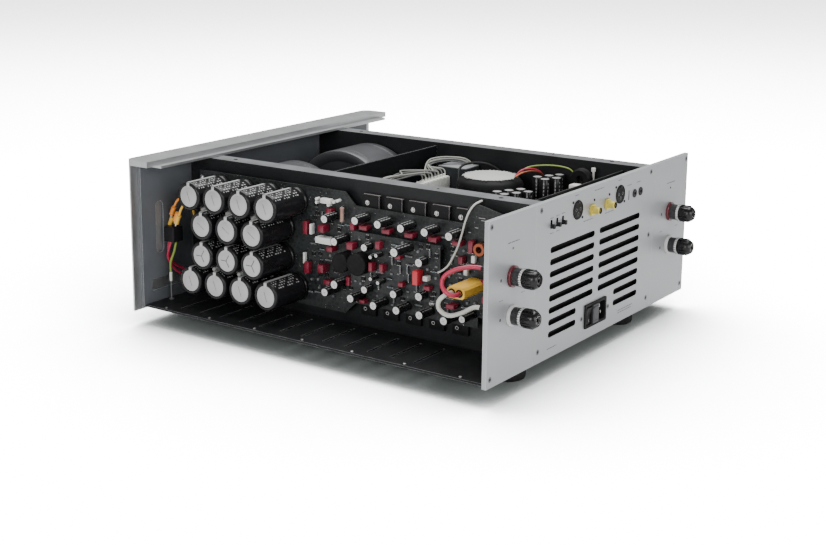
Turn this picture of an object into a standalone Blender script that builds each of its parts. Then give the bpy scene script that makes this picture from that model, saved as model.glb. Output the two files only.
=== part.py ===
"""An open dual-mono power amplifier, seen with its covers off, as separate parts.

Every part is a child of one empty, chassis_datum, which stands in the middle of the rear
panel's outer face, level with the underside of the bottom plate. All the numbers below are
read from there: +X towards the open right-hand side, -Y towards the front plate, +Z up.
The object's own origin is on the surface that it stands on, under the middle of its box.
"""

import math

import bmesh
import bpy
from mathutils import Matrix, Vector

# Driving dimensions, in metres.
PANEL_WIDTH = 0.460  # across the rear panels
PANEL_HEIGHT = 0.1706
CHASSIS_DEPTH = 0.488  # front face to the rear panels' outer face
POST_LENGTH = 0.0305  # how far a speaker terminal stands out of the rear panel
FOOT_HEIGHT = 0.0225
FOOT_RADIUS = 0.0215

FRONT_HALF_WIDTH = 0.236
FRONT_THICKNESS = 0.008
FRONT_TOP = 0.1788
FRONT_BOTTOM = -0.0032
FRONT_CORNER = 0.011  # radius of the front plate's ends, seen from above
FLANGE_DEPTH = 0.036
FLANGE_THICKNESS = 0.0068
LEDGE_DEPTH = 0.045
SUBPANEL_THICKNESS = 0.004
REAR_THICKNESS = 0.005
BOTTOM_THICKNESS = 0.0025

WALL_INNER = 0.115  # the two lengthwise walls, from the middle of the chassis
WALL_OUTER = 0.137
WALL_TOP = 0.170
SEAM = 0.1383  # where the rear panels meet, from the middle
PARTITION_Y = -0.2875

GAP = 0.0003  # left between parts that touch

# The two amplifier boards stand on edge, outside the lengthwise walls.
BOARD_FACE = 0.1445
BOARD_THICKNESS = 0.0016
BOARD_MIDDLE = 0.0868
DRIVER_FACE = 0.156
CAPACITOR_RADIUS = 0.0168
CAPACITOR_PITCH = 0.038
CAPACITOR_TIP = 0.205  # distance of the capacitors' tops from the middle
DEVICE_PITCH = 0.0302
DEVICE_FIRST = -0.2036

TRANSFORMER_RADIUS = 0.0768
TRANSFORMER_Y = -0.383
TRANSFORMER_Z = 0.0828

POST_X = 0.1835
POST_HEIGHTS = {"upper": 0.1065, "lower": 0.066}
INLET_Z = 0.0255
XLR_X = 0.0497
SOCKET_Z = 0.150
RCA_X = 0.0177
RCA_Z = 0.1446
SWITCH_XS = (0.1067, 0.0944, 0.0822)
SWITCH_Z = 0.145
SWITCH_TRAVEL = 0.004
BUTTON_Z = 0.088
BUTTON_TRAVEL = 0.0012

SIDES = {"right": 1, "left": -1}
FRONT_Y = -CHASSIS_DEPTH
SUBPANEL_Y = FRONT_Y + FRONT_THICKNESS + GAP
INNER_FRONT = SUBPANEL_Y + SUBPANEL_THICKNESS + GAP
INNER_REAR = -REAR_THICKNESS - GAP
FLOOR = BOTTOM_THICKNESS + GAP
DATUM = Vector((0, (CHASSIS_DEPTH - POST_LENGTH) / 2, FOOT_HEIGHT))

ALONG_X = (0, math.pi / 2, 0)
ALONG_Y = (-math.pi / 2, 0, 0)
ALONG_Z = (0, 0, 0)
TURNED = {"X": ALONG_X, "Y": ALONG_Y, "Z": ALONG_Z}
# Takes an outline drawn in (X, Y) to (Y, Z), so that it faces +X.
FACING_X = Matrix(((0, 0, 1, 0), (1, 0, 0, 0), (0, 1, 0, 0), (0, 0, 0, 1)))

# name: (colour, roughness, metallic)
FINISHES = {
    "silver_aluminium": ((0.49, 0.50, 0.50), 0.42, 0.9),
    "black_anodised": ((0.016, 0.017, 0.019), 0.5, 0.3),
    "grey_anodised": ((0.07, 0.08, 0.09), 0.45, 0.5),
    "black_paint": ((0.01, 0.01, 0.011), 0.55, 0.0),
    "circuit_board": ((0.022, 0.026, 0.026), 0.45, 0.0),
    "capacitor_sleeve": ((0.02, 0.02, 0.022), 0.35, 0.0),
    "device_plastic": ((0.012, 0.012, 0.013), 0.5, 0.0),
    "transformer_shell": ((0.12, 0.13, 0.14), 0.4, 0.2),
    "winding_tape": ((0.012, 0.012, 0.012), 0.5, 0.0),
    "relay_grey": ((0.10, 0.11, 0.115), 0.5, 0.0),
    "white_plastic": ((0.66, 0.66, 0.62), 0.45, 0.0),
    "black_plastic": ((0.012, 0.012, 0.013), 0.4, 0.0),
    "grey_plastic": ((0.045, 0.047, 0.05), 0.45, 0.0),
    "gold": ((0.62, 0.42, 0.16), 0.28, 1.0),
    "nickel": ((0.60, 0.60, 0.58), 0.25, 1.0),
    "red_plastic": ((0.25, 0.012, 0.025), 0.35, 0.0),
    "ivory_plastic": ((0.62, 0.63, 0.62), 0.4, 0.0),
    "rubber": ((0.012, 0.012, 0.012), 0.8, 0.0),
    "red_cable": ((0.32, 0.02, 0.05), 0.45, 0.0),
    "white_cable": ((0.55, 0.55, 0.50), 0.5, 0.0),
    "yellow_plastic": ((0.68, 0.40, 0.05), 0.4, 0.0),
}


# ---------------------------------------------------------------- helpers


def clear_scene():
    for obj in list(bpy.data.objects):
        bpy.data.objects.remove(obj)


def collection(name):
    made = bpy.data.collections.new(name)
    bpy.context.scene.collection.children.link(made)
    return made


def finish(name):
    """The material of that name, made the first time it is asked for."""
    if name in bpy.data.materials:
        return bpy.data.materials[name]
    colour, roughness, metallic = FINISHES[name]
    made = bpy.data.materials.new(name)
    made.use_nodes = True
    shader = made.node_tree.nodes["Principled BSDF"]
    shader.inputs["Base Color"].default_value = (*colour, 1)
    shader.inputs["Roughness"].default_value = roughness
    shader.inputs["Metallic"].default_value = metallic
    made.diffuse_color = (*colour, 1)
    return made


def place(name, mesh, at, look=None, rotation=ALONG_Z):
    """Links a mesh at a point on the datum: a part when it has a look, else a cutter."""
    obj = bpy.data.objects.new(name, mesh)
    obj.parent = datum
    obj.location = at
    obj.rotation_euler = rotation
    if look:
        mesh.materials.append(finish(look))
        parts.objects.link(obj)
    else:
        hide_as_tool(obj)
        cutters.objects.link(obj)
    return obj


def hide_as_tool(obj):
    obj.hide_render = True
    obj.display_type = "WIRE"


def mesh_of(name, build):
    """A mesh from a function that fills a bmesh."""
    bm = bmesh.new()
    build(bm)
    mesh = bpy.data.meshes.new(name)
    bm.to_mesh(mesh)
    bm.free()
    return mesh


def block(name, low, high, look=None, radius=0.0, axis="Y", segments=3):
    """A box between two corners. Its four edges along axis are rounded by radius."""
    low, high = Vector(low), Vector(high)
    middle = (low + high) / 2
    along = "XYZ".index(axis)

    def build(bm):
        bmesh.ops.create_cube(bm, size=1, matrix=Matrix.Diagonal((*(high - low), 1)))
        bmesh.ops.translate(bm, verts=bm.verts, vec=(low + high) / 2 - middle)
        if radius:
            edges = [
                edge
                for edge in bm.edges
                if abs((edge.verts[0].co - edge.verts[1].co)[along]) > 1e-6
            ]
            bmesh.ops.bevel(
                bm, geom=edges, offset=radius, segments=segments, affect="EDGES", profile=0.5
            )

    return place(name, mesh_of(name, build), middle, look)


def rod(name, at, axis, radius, length, look=None, segments=16, tip_radius=None):
    """A cylinder or cone that starts at a point and runs along +axis."""

    def build(bm):
        bmesh.ops.create_cone(
            bm,
            cap_ends=True,
            segments=segments,
            radius1=radius,
            radius2=radius if tip_radius is None else tip_radius,
            depth=length,
            matrix=Matrix.Translation((0, 0, length / 2)),
        )

    made = place(name, mesh_of(name, build), at, look, TURNED[axis])
    return smooth(made) if look else made


def turned(name, profile, at, axis, look=None, steps=20):
    """A turned shape. Its profile gives (radius, distance along the axis), down the outer side."""

    def build(bm):
        points = [bm.verts.new((radius, 0, along)) for radius, along in profile]
        for first, second in zip(points, points[1:]):
            bm.edges.new((first, second))

    obj = place(name, mesh_of(name, build), at, look, TURNED[axis])
    screw = obj.modifiers.new("turn", "SCREW")
    screw.steps = screw.render_steps = steps
    screw.use_merge_vertices = True
    screw.merge_threshold = 1e-5
    return obj


def plate(name, outline, thickness, at, axis, look=None):
    """A flat piece from a closed outline, as thick along +axis as thickness.

    The outline is in (Y, Z) for axis X, and in (X, Y) for axis Z.
    """
    curve = bpy.data.curves.new(name, "CURVE")
    curve.dimensions = "2D"
    curve.fill_mode = "BOTH"
    curve.extrude = thickness / 2
    spline = curve.splines.new("POLY")
    spline.points.add(len(outline) - 1)
    for point, (across, along) in zip(spline.points, outline):
        point.co = (across, along, 0, 1)
    spline.use_cyclic_u = True
    guide = bpy.data.objects.new(name + "_outline", curve)
    bpy.context.scene.collection.objects.link(guide)
    graph = bpy.context.evaluated_depsgraph_get()
    mesh = bpy.data.meshes.new_from_object(guide.evaluated_get(graph))
    bpy.data.objects.remove(guide)
    bm = bmesh.new()
    bm.from_mesh(mesh)
    bmesh.ops.remove_doubles(bm, verts=bm.verts, dist=1e-6)
    bmesh.ops.translate(bm, verts=bm.verts, vec=(0, 0, thickness / 2))
    if axis == "X":
        bmesh.ops.transform(bm, verts=bm.verts, matrix=FACING_X)
    bmesh.ops.recalc_face_normals(bm, faces=bm.faces)
    bm.to_mesh(mesh)
    bm.free()
    return place(name, mesh, at, look)


def cable(name, points, radius, look, spacing):
    """A tube along a smooth curve through the route's points, sampled evenly."""
    route = smooth_route([Vector(point) for point in points], spacing)
    curve = bpy.data.curves.new(name, "CURVE")
    curve.dimensions = "3D"
    curve.bevel_depth = radius
    curve.bevel_resolution = 2
    curve.use_fill_caps = True
    spline = curve.splines.new("POLY")
    spline.points.add(len(route) - 1)
    for point, co in zip(spline.points, route):
        point.co = (*co, 1)
    curve.materials.append(finish(look))
    obj = bpy.data.objects.new(name, curve)
    obj.parent = datum
    parts.objects.link(obj)
    return obj


def smooth_route(points, spacing):
    """Points along a Catmull-Rom curve through the given ones."""
    ends = [points[0] * 2 - points[1], *points, points[-1] * 2 - points[-2]]
    route = []
    for before, start, end, after in zip(ends, ends[1:], ends[2:], ends[3:]):
        count = max(2, round((end - start).length / spacing))
        for step in range(count):
            t = step / count
            route.append(
                0.5
                * (
                    2 * start
                    + (end - before) * t
                    + (2 * before - 5 * start + 4 * end - after) * t**2
                    + (3 * start - before - 3 * end + after) * t**3
                )
            )
    return [*route, points[-1]]


def smooth(obj, angle=40):
    obj.data.shade_smooth()
    obj.data.set_sharp_from_angle(angle=math.radians(angle))
    return obj


def boolean(target, tools, operation):
    for tool in tools:
        modifier = target.modifiers.new(operation.lower(), "BOOLEAN")
        modifier.operation = operation
        modifier.object = tool
    return target


def cut(target, *tools):
    return boolean(target, tools, "DIFFERENCE")


def join(target, *tools):
    return boolean(target, tools, "UNION")


def mirrored(side, low, high):
    """The same box on either side of the middle: right keeps +X, left swaps it."""
    if side > 0:
        return low, high
    return (-high[0], low[1], low[2]), (-low[0], high[1], high[2])


# ---------------------------------------------------------------- chassis


def bar_outline(half_width, front, depth, radius, steps=4):
    """A bar seen from above, whose two front corners are rounded."""
    arc = [
        (
            half_width - radius + radius * math.cos(math.pi / 2 * (1 - step / steps)),
            front + radius - radius * math.sin(math.pi / 2 * (1 - step / steps)),
        )
        for step in range(steps + 1)
        if radius - radius * math.sin(math.pi / 2 * (1 - step / steps)) < depth
    ]
    right = [*arc, (half_width if radius < depth else arc[-1][0], front + depth)]
    return [*right, *[(-x, y) for x, y in reversed(right)]]


def make_front_plate():
    """The thick front plate, with the stepped flange that holds the top cover's front edge."""
    height = FRONT_TOP - FRONT_BOTTOM
    slab = bar_outline(FRONT_HALF_WIDTH, FRONT_Y, FRONT_THICKNESS, FRONT_CORNER)
    front = plate("front_plate", slab, height, (0, 0, FRONT_BOTTOM), "Z", "silver_aluminium")
    flange = bar_outline(FRONT_HALF_WIDTH, FRONT_Y, FLANGE_DEPTH, FRONT_CORNER)
    flange_z = FRONT_TOP - FLANGE_THICKNESS
    top = plate("front_flange", flange, FLANGE_THICKNESS, (0, 0, flange_z), "Z")
    ledge = block(
        "front_ledge",
        (-0.222, FRONT_Y + FRONT_THICKNESS / 2, WALL_TOP + GAP),
        (0.222, FRONT_Y + LEDGE_DEPTH, flange_z + 0.0012),
    )
    join(front, top, ledge)
    button = rod("button_hole", (0, FRONT_Y - 0.01, BUTTON_Z), "Y", 0.0100, 0.03, segments=24)
    lamp = rod("lamp_hole", (0, FRONT_Y - 0.01, BUTTON_Z - 0.024), "Y", 0.0016, 0.03, segments=10)
    cut(front, button, lamp)


def make_front_subpanel():
    """The inner front panel, with a lengthwise slot and a low cut-out on each side."""
    low = (-0.2235, SUBPANEL_Y, 0.0)
    high = (0.2235, SUBPANEL_Y + SUBPANEL_THICKNESS, WALL_TOP - 0.001)
    panel = block("front_subpanel", low, high, "grey_anodised")
    front, back = low[1] - 0.01, high[1] + 0.01
    for side, sign in SIDES.items():
        slot = mirrored(sign, (0.1875, front, 0.061), (0.2, back, 0.1235))
        window = mirrored(sign, (0.152, front, 0.017), (0.209, back, 0.030))
        cut(
            panel,
            block(f"subpanel_slot_{side}", *slot, radius=0.0062, segments=5),
            block(f"subpanel_window_{side}", *window, radius=0.001, segments=1),
        )
    cut(panel, rod("stem_hole", (0, front, BUTTON_Z), "Y", 0.006, 0.03))


def make_bottom_plate():
    """The bottom plate, with a row of cooling slots under each amplifier board."""
    low = (-0.222, INNER_FRONT, 0.0)
    high = (0.222, INNER_REAR, BOTTOM_THICKNESS)
    bottom = block("bottom_plate", low, high, "black_paint")
    slots, pitch, first = 12, 0.030, -0.430
    for side, sign in SIDES.items():
        for number in range(slots):
            y = first + number * pitch
            slot = mirrored(sign, (0.150, y - 0.0015, -0.01), (0.208, y + 0.0015, 0.01))
            cut(bottom, block(f"bottom_slot_{side}_{number}", *slot, radius=0.0014, axis="Z", segments=2))


def make_walls():
    """The two lengthwise walls, which carry the output devices, and the cross wall between them."""
    for side, sign in SIDES.items():
        low, high = mirrored(
            sign,
            (WALL_INNER, INNER_FRONT, FLOOR),
            (WALL_OUTER, INNER_REAR, WALL_TOP),
        )
        wall = block(f"inner_wall_{side}", low, high, "black_anodised")
        for number, (y, radius) in enumerate(((-0.4135, 0.0028), (-0.127, 0.0016), (-0.049, 0.0028))):
            x = sign * (WALL_INNER + WALL_OUTER) / 2
            name = f"wall_hole_{side}_{number}"
            cut(wall, rod(name, (x, y, WALL_TOP - 0.012), "Z", radius, 0.02, segments=12))
    x = WALL_INNER - GAP
    block(
        "partition",
        (-x, PARTITION_Y - 0.001, FLOOR),
        (x, PARTITION_Y + 0.001, 0.166),
        "black_paint",
    )


def vent_slots():
    """(left end, right end, height) of each slot in the middle rear panel."""
    long_heights = [0.117 - 0.0131 * row for row in range(6)]
    short_heights = [0.0386, 0.0255]
    slots = [(0.0085, 0.107, z) for z in long_heights]
    slots += [(-0.102, -0.003, z) for z in long_heights]
    slots += [(0.0465, 0.107, z) for z in short_heights]
    slots += [(-0.102, -0.042, z) for z in short_heights]
    return slots


def make_rear_panels():
    back, front = -REAR_THICKNESS, 0.0
    through = (back - 0.01, front + 0.01)
    centre = block(
        "rear_panel_centre",
        (-SEAM + 0.0002, back, 0.0),
        (SEAM - 0.0002, front, PANEL_HEIGHT),
        "silver_aluminium",
    )
    for number, (left, right, z) in enumerate(vent_slots()):
        slot = ((left, through[0], z - 0.0033), (right, through[1], z + 0.0033))
        cut(centre, block(f"vent_{number}", *slot, radius=0.0032, segments=4))
    inlet = ((-0.0212, through[0], INLET_Z - 0.0123), (0.0252, through[1], INLET_Z + 0.0123))
    cut(centre, block("inlet_hole", *inlet))
    for name, x, z, radius, sides in (
        ("xlr_right", XLR_X, SOCKET_Z, 0.0108, 20),
        ("xlr_left", -XLR_X, SOCKET_Z, 0.0108, 20),
        ("rca_right", RCA_X, RCA_Z, 0.0047, 12),
        ("rca_left", -RCA_X, RCA_Z, 0.0047, 12),
        ("jack_near", -0.0861, SWITCH_Z, 0.0043, 12),
        ("jack_far", -0.1012, SWITCH_Z, 0.0043, 12),
    ):
        cut(centre, rod(f"hole_{name}", (x, through[0], z), "Y", radius, 0.025, segments=sides))
    slots = [(x, 0.0042, 0.0094) for x in SWITCH_XS] + [(-0.0719, 0.002, 0.011)]
    for number, (x, width, height) in enumerate(slots):
        low = (x - width / 2, through[0], SWITCH_Z - height / 2)
        high = (x + width / 2, through[1], SWITCH_Z + height / 2)
        cut(centre, block(f"switch_slot_{number}", low, high))
    for side, sign in SIDES.items():
        low, high = mirrored(sign, (SEAM, back, 0.0), (PANEL_WIDTH / 2, front, PANEL_HEIGHT))
        panel = block(f"rear_panel_{side}", low, high, "silver_aluminium")
        for height in POST_HEIGHTS.values():
            spot = (sign * POST_X, through[0], height)
            cut(panel, rod(f"post_hole_{side}_{height}", spot, "Y", 0.0064, 0.025, segments=14))
        lamp = (sign * POST_X, through[0], 0.1352)
        cut(panel, rod(f"lamp_hole_{side}", lamp, "Y", 0.0017, 0.025, segments=10))


def make_feet():
    profile = [
        (0, -GAP),
        (FOOT_RADIUS - 0.002, -GAP),
        (FOOT_RADIUS, -0.004),
        (FOOT_RADIUS - 0.0015, -FOOT_HEIGHT + 0.002),
        (FOOT_RADIUS - 0.0035, -FOOT_HEIGHT),
        (0, -FOOT_HEIGHT),
    ]
    for end, y in (("rear", -0.0375), ("front", -0.4300)):
        for side, sign in SIDES.items():
            turned(f"foot_{end}_{side}", profile, (sign * 0.126, y, 0), "Z", "rubber")


# ---------------------------------------------------------------- amplifier boards


def board_outline():
    """The amplifier board on edge: deep at the front, stepped down behind the chamfer."""
    tall, low, chamfer = 0.0697, 0.0557, 0.0145
    front, step, rear = -0.453, -0.236, -0.062
    upper = [(front, tall), (step, tall), (step + chamfer, low), (rear, low)]
    return [(y, BOARD_MIDDLE + z) for y, z in upper] + [
        (y, BOARD_MIDDLE - z) for y, z in reversed(upper)
    ]


def stand(name, side, x_from, x_to, y, z):
    """A spacer pillar between two faces, given as distances from the middle."""
    low, high = sorted((side * x_from, side * x_to))
    return rod(name, (low, y, z), "X", 0.003, high - low, segments=8)


def make_boards():
    for side, sign in SIDES.items():
        face = BOARD_FACE if sign > 0 else -BOARD_FACE - BOARD_THICKNESS
        board = plate(
            f"amplifier_board_{side}", board_outline(), BOARD_THICKNESS, (face, 0, 0), "X", "circuit_board"
        )
        spots = [(y, z) for y in (-0.445, -0.255, -0.068) for z in (0.043, 0.128)]
        for number, (y, z) in enumerate(spots):
            join(board, stand(f"stand_{side}_{number}", sign, WALL_OUTER + GAP, BOARD_FACE + 0.0008, y, z))
        low, high = mirrored(
            sign,
            (DRIVER_FACE, -0.2196, 0.0529),
            (DRIVER_FACE + BOARD_THICKNESS, -0.1025, 0.117),
        )
        driver = block(f"driver_board_{side}", low, high, "circuit_board")
        start = BOARD_FACE + BOARD_THICKNESS + GAP
        for number, (y, z) in enumerate([(y, z) for y in (-0.2155, -0.1065) for z in (0.057, 0.113)]):
            join(driver, stand(f"driver_stand_{side}_{number}", sign, start, DRIVER_FACE + 0.0008, y, z))


def capacitor_spots():
    """(Y, Z) of the storage capacitors: rows of four, three, three and four."""
    rows = ((0.138, -0.4178, 4), (0.1053, -0.3995, 3), (0.0700, -0.3995, 3), (0.0375, -0.4178, 4))
    return [(first + CAPACITOR_PITCH * number, z) for z, first, count in rows for number in range(count)]


def make_capacitor_banks():
    """Each side's storage capacitors, joined by the insulating sheet that they stand on."""
    start = BOARD_FACE + BOARD_THICKNESS + GAP
    for side, sign in SIDES.items():
        low, high = mirrored(sign, (start, -0.434, 0.024), (start + 0.0015, -0.290, 0.152))
        bank = block(f"capacitor_bank_{side}", low, high, "capacitor_sleeve")
        for number, (y, z) in enumerate(capacitor_spots()):
            x_low, x_high = sorted((sign * (start + 0.0007), sign * CAPACITOR_TIP))
            can = rod(
                f"capacitor_{side}_{number}",
                (x_low, y, z),
                "X",
                CAPACITOR_RADIUS,
                x_high - x_low,
                segments=16,
            )
            join(bank, can)


def make_output_devices():
    """Each side's upper row of output transistors, on the insulating pad that they share."""
    start = WALL_OUTER + GAP
    for side, sign in SIDES.items():
        low, high = mirrored(sign, (start, -0.216, 0.1335), (start + 0.0006, -0.0715, 0.1565))
        devices = block(f"output_devices_{side}", low, high, "device_plastic")
        for number in range(5):
            y = DEVICE_FIRST + DEVICE_PITCH * number
            near, far = (start + 0.0002, y - 0.011, 0.1325), (start + 0.0058, y + 0.011, 0.1555)
            low, high = mirrored(sign, near, far)
            join(devices, block(f"device_{side}_{number}", low, high))


def make_speaker_wiring():
    """The plug on the right-hand board, and the leads from it to the speaker terminals."""
    start = BOARD_FACE + BOARD_THICKNESS + GAP
    block(
        "speaker_connector",
        (start, -0.0726, 0.0740),
        (0.1905, -0.0514, 0.0858),
        "yellow_plastic",
        radius=0.0025,
        axis="X",
        segments=1,
    )
    post = 0.0232
    red = [
        (POST_X, -post, POST_HEIGHTS["upper"]),
        (0.185, -0.040, 0.1095),
        (0.192, -0.058, 0.1065),
        (0.198, -0.0705, 0.0985),
        (0.2015, -0.0715, 0.0895),
        (0.2025, -0.0655, 0.0825),
        (0.1985, -0.0582, 0.0800),
        (0.1914, -0.0575, 0.0800),
    ]
    cable("speaker_lead_red", red, 0.0024, "red_cable", 0.006)
    white = [
        (POST_X, -post, POST_HEIGHTS["lower"]),
        (0.187, -0.040, 0.0680),
        (0.193, -0.052, 0.0615),
        (0.197, -0.0655, 0.0570),
        (0.2005, -0.0745, 0.0625),
        (0.2025, -0.0745, 0.0720),
        (0.1990, -0.0680, 0.0796),
        (0.1914, -0.0665, 0.0800),
    ]
    cable("speaker_lead_white", white, 0.0024, "white_cable", 0.006)


# ---------------------------------------------------------------- middle compartments


def make_transformers():
    """Two potted ring transformers on edge, side by side, in one cradle."""
    inner, outer = 0.0397, 0.1130
    depth = outer - inner
    ring = [
        (0.016, 0.004),
        (0.062, 0.004),
        (0.066, 0),
        (TRANSFORMER_RADIUS - 0.003, 0),
        (TRANSFORMER_RADIUS, 0.003),
        (TRANSFORMER_RADIUS, depth - 0.003),
        (TRANSFORMER_RADIUS - 0.003, depth),
        (0.066, depth),
        (0.062, depth - 0.004),
        (0.016, depth - 0.004),
        (0.016, 0.004),
    ]
    for side, sign in SIDES.items():
        start = inner if sign > 0 else -outer
        profile = list(reversed(ring))
        turned(
            f"mains_transformer_{side}",
            profile,
            (start, TRANSFORMER_Y, TRANSFORMER_Z),
            "X",
            "transformer_shell",
            steps=36,
        )
    cradle = block(
        "transformer_cradle",
        (-0.108, TRANSFORMER_Y - 0.045, FLOOR),
        (0.108, TRANSFORMER_Y + 0.045, 0.019),
        "black_paint",
    )
    hollow = rod(
        "cradle_hollow",
        (-0.12, TRANSFORMER_Y, TRANSFORMER_Z),
        "X",
        TRANSFORMER_RADIUS + 2 * GAP,
        0.24,
        segments=72,
    )
    cut(cradle, hollow)


def make_supply():
    """The supply board behind the cross wall, and what stands on it."""
    top = 0.1021
    board = block("supply_board", (-0.108, -0.2645, 0.1005), (0.108, -0.052, top), "circuit_board")
    for number, (x, y) in enumerate([(x, y) for x in (-0.1, 0.1) for y in (-0.258, -0.058)]):
        join(board, rod(f"supply_stand_{number}", (x, y, FLOOR), "Z", 0.004, 0.0985, segments=8))
    base = top + GAP
    turned(
        "standby_transformer",
        [
            (0, 0.0462),
            (0.0315, 0.0462),
            (0.0315, 0.043),
            (0.036, 0.041),
            (0.040, 0.036),
            (0.040, 0.007),
            (0.036, 0.0),
            (0, 0.0),
        ],
        (-0.0645, -0.1775, base),
        "Z",
        "winding_tape",
        steps=24,
    )
    relay = ((-0.1120, -0.2630, base), (-0.0800, -0.2215, 0.1470))
    block("relay_box", *relay, "relay_grey", radius=0.001, axis="Z", segments=1)
    block("supply_connector", (-0.0780, -0.2550, base), (-0.0203, -0.2430, 0.1370), "white_plastic")
    make_supply_capacitors(base)


def make_supply_capacitors(base):
    """A low and a tall group of capacitors, joined by the insulating sheet that they stand on."""
    low, high = (-0.1096, -0.1368, base), (0.002, -0.0916, base + 0.0015)
    capacitors = block("supply_capacitors", low, high, "capacitor_sleeve")
    low_group = [
        (-0.012, -0.136),
        (-0.026, -0.1285),
        (-0.040, -0.121),
        (-0.0045, -0.122),
        (-0.0185, -0.1145),
        (-0.0325, -0.107),
    ]
    tall_group = [
        (-0.0760, -0.1195),
        (-0.0900, -0.1120),
        (-0.0685, -0.1055),
        (-0.0825, -0.0980),
        (-0.1025, -0.1050),
    ]
    start = base + 0.0007
    for group, top in ((low_group, 0.143), (tall_group, 0.152)):
        for number, (x, y) in enumerate(group):
            name = f"supply_can_{top}_{number}"
            join(capacitors, rod(name, (x, y, start), "Z", 0.0063, top - start, segments=12))


# ---------------------------------------------------------------- sockets and switches


def make_sockets():
    block("input_board", (-0.112, -0.0290, 0.128), (0.112, -0.0274, 0.164), "circuit_board")
    for side, sign in SIDES.items():
        xlr = turned(
            f"xlr_socket_{side}",
            [(0, 0.0272), (0.0092, 0.0272), (0.0102, 0.0262), (0.0102, 0), (0, 0)],
            (sign * XLR_X, -0.0265, SOCKET_Z),
            "Y",
            "black_plastic",
        )
        for number, (x, z) in enumerate(((-0.0045, 0.0005), (0.0045, 0.0005), (0, -0.0042))):
            spot = (sign * XLR_X + x, -0.012, SOCKET_Z + z)
            cut(xlr, rod(f"xlr_pin_hole_{side}_{number}", spot, "Y", 0.0014, 0.03, segments=10))
        turned(
            f"rca_socket_{side}",
            [
                (0, 0.020),
                (0.0016, 0.020),
                (0.0016, 0.0365),
                (0.0036, 0.0370),
                (0.0042, 0.0365),
                (0.0042, 0.0287),
                (0.0058, 0.0285),
                (0.0058, 0.0268),
                (0.0044, 0.0268),
                (0.0044, 0.0),
                (0, 0.0),
            ],
            (sign * RCA_X, -0.0265, RCA_Z),
            "Y",
            "gold",
            steps=18,
        )
    jacks = block("trigger_jacks", (-0.1080, -0.0265, 0.138), (-0.0793, -0.0055, 0.152), "black_plastic")
    for number, x in enumerate((-0.0861, -0.1012)):
        join(jacks, rod(f"jack_neck_{number}", (x, -0.010, SWITCH_Z), "Y", 0.0040, 0.0108, segments=14))
    for number, x in enumerate((-0.0861, -0.1012)):
        cut(jacks, rod(f"jack_bore_{number}", (x, -0.012, SWITCH_Z), "Y", 0.0018, 0.03, segments=10))


def make_mode_switches():
    """Three slide switches in one housing behind the rear panel."""
    low, high = (0.0765, -0.0200, 0.136), (0.1125, -0.0055, 0.154)
    housing = block("mode_switch_housing", low, high, "grey_plastic")
    half_height = 0.00225
    rest_z = SWITCH_Z - SWITCH_TRAVEL / 2
    for number, x in enumerate(SWITCH_XS, start=1):
        track = block(
            f"mode_track_{number}",
            (x - 0.0021, -0.0150, SWITCH_Z - 0.0047),
            (x + 0.0021, 0.01, SWITCH_Z + 0.0047),
        )
        cut(housing, track)
        block(
            f"mode_switch_{number}",
            (x - 0.0017, -0.0140, rest_z - half_height),
            (x + 0.0017, 0.0045, rest_z + half_height),
            "black_plastic",
            radius=0.0005,
            segments=1,
        )


def make_power_module():
    """The mains inlet, its fuse drawer and its power rocker, side by side in one housing."""
    face, rear, out = 0.0018, -0.046, 0.01
    low_z, high_z = INLET_Z - 0.0108, INLET_Z + 0.0108
    flange = block(
        "power_module",
        (-0.0230, GAP, INLET_Z - 0.0135),
        (0.0270, face, INLET_Z + 0.0135),
        "black_plastic",
        radius=0.001,
        segments=1,
    )
    low, high = (-0.0209, rear, INLET_Z - 0.012), (0.0249, face - 0.0005, INLET_Z + 0.012)
    join(flange, block("power_module_body", low, high))
    low, high = (-0.0200, -0.017, INLET_Z - 0.0105), (-0.0050, out, INLET_Z + 0.0105)
    cut(
        flange,
        block("inlet_well", low, high, radius=0.003, segments=2),
        block("drawer_well", (-0.0030, -0.0315, low_z), (0.0108, out, high_z)),
        block("rocker_well", (0.0128, -0.012, low_z), (0.0238, out, high_z)),
    )
    block(
        "fuse_drawer",
        (-0.0026, -0.0308, INLET_Z - 0.0104),
        (0.0104, face + 0.0012, INLET_Z + 0.0104),
        "grey_plastic",
        radius=0.0006,
        segments=1,
    )
    make_rocker(face)


def make_rocker(face):
    """A rocker that turns on a pin across its middle, modelled with its lower end pressed in."""
    half_width, half_height, tilt = 0.0051, 0.0096, math.radians(7)
    mesh = mesh_of("power_rocker", lambda bm: rocker_body(bm, half_width, half_height, tilt))
    place("power_rocker", mesh, (0.0183, face - 0.0035, INLET_Z), "black_plastic")


def rocker_body(bm, half_width, half_height, tilt):
    """A prism whose two upper faces fall away from the middle, turned by tilt about its pin."""
    size = (2 * half_width, 0.0062, 2 * half_height, 1)
    bmesh.ops.create_cube(bm, size=1, matrix=Matrix.Diagonal(size))
    bmesh.ops.subdivide_edges(
        bm,
        edges=[edge for edge in bm.edges if abs(edge.verts[0].co.z - edge.verts[1].co.z) > 1e-6],
        cuts=1,
    )
    for vert in bm.verts:
        if vert.co.y > 0 and abs(vert.co.z) < 1e-6:
            vert.co.y -= 0.0012
    bmesh.ops.rotate(bm, verts=bm.verts, cent=(0, 0, 0), matrix=Matrix.Rotation(-tilt, 3, "X"))


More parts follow.
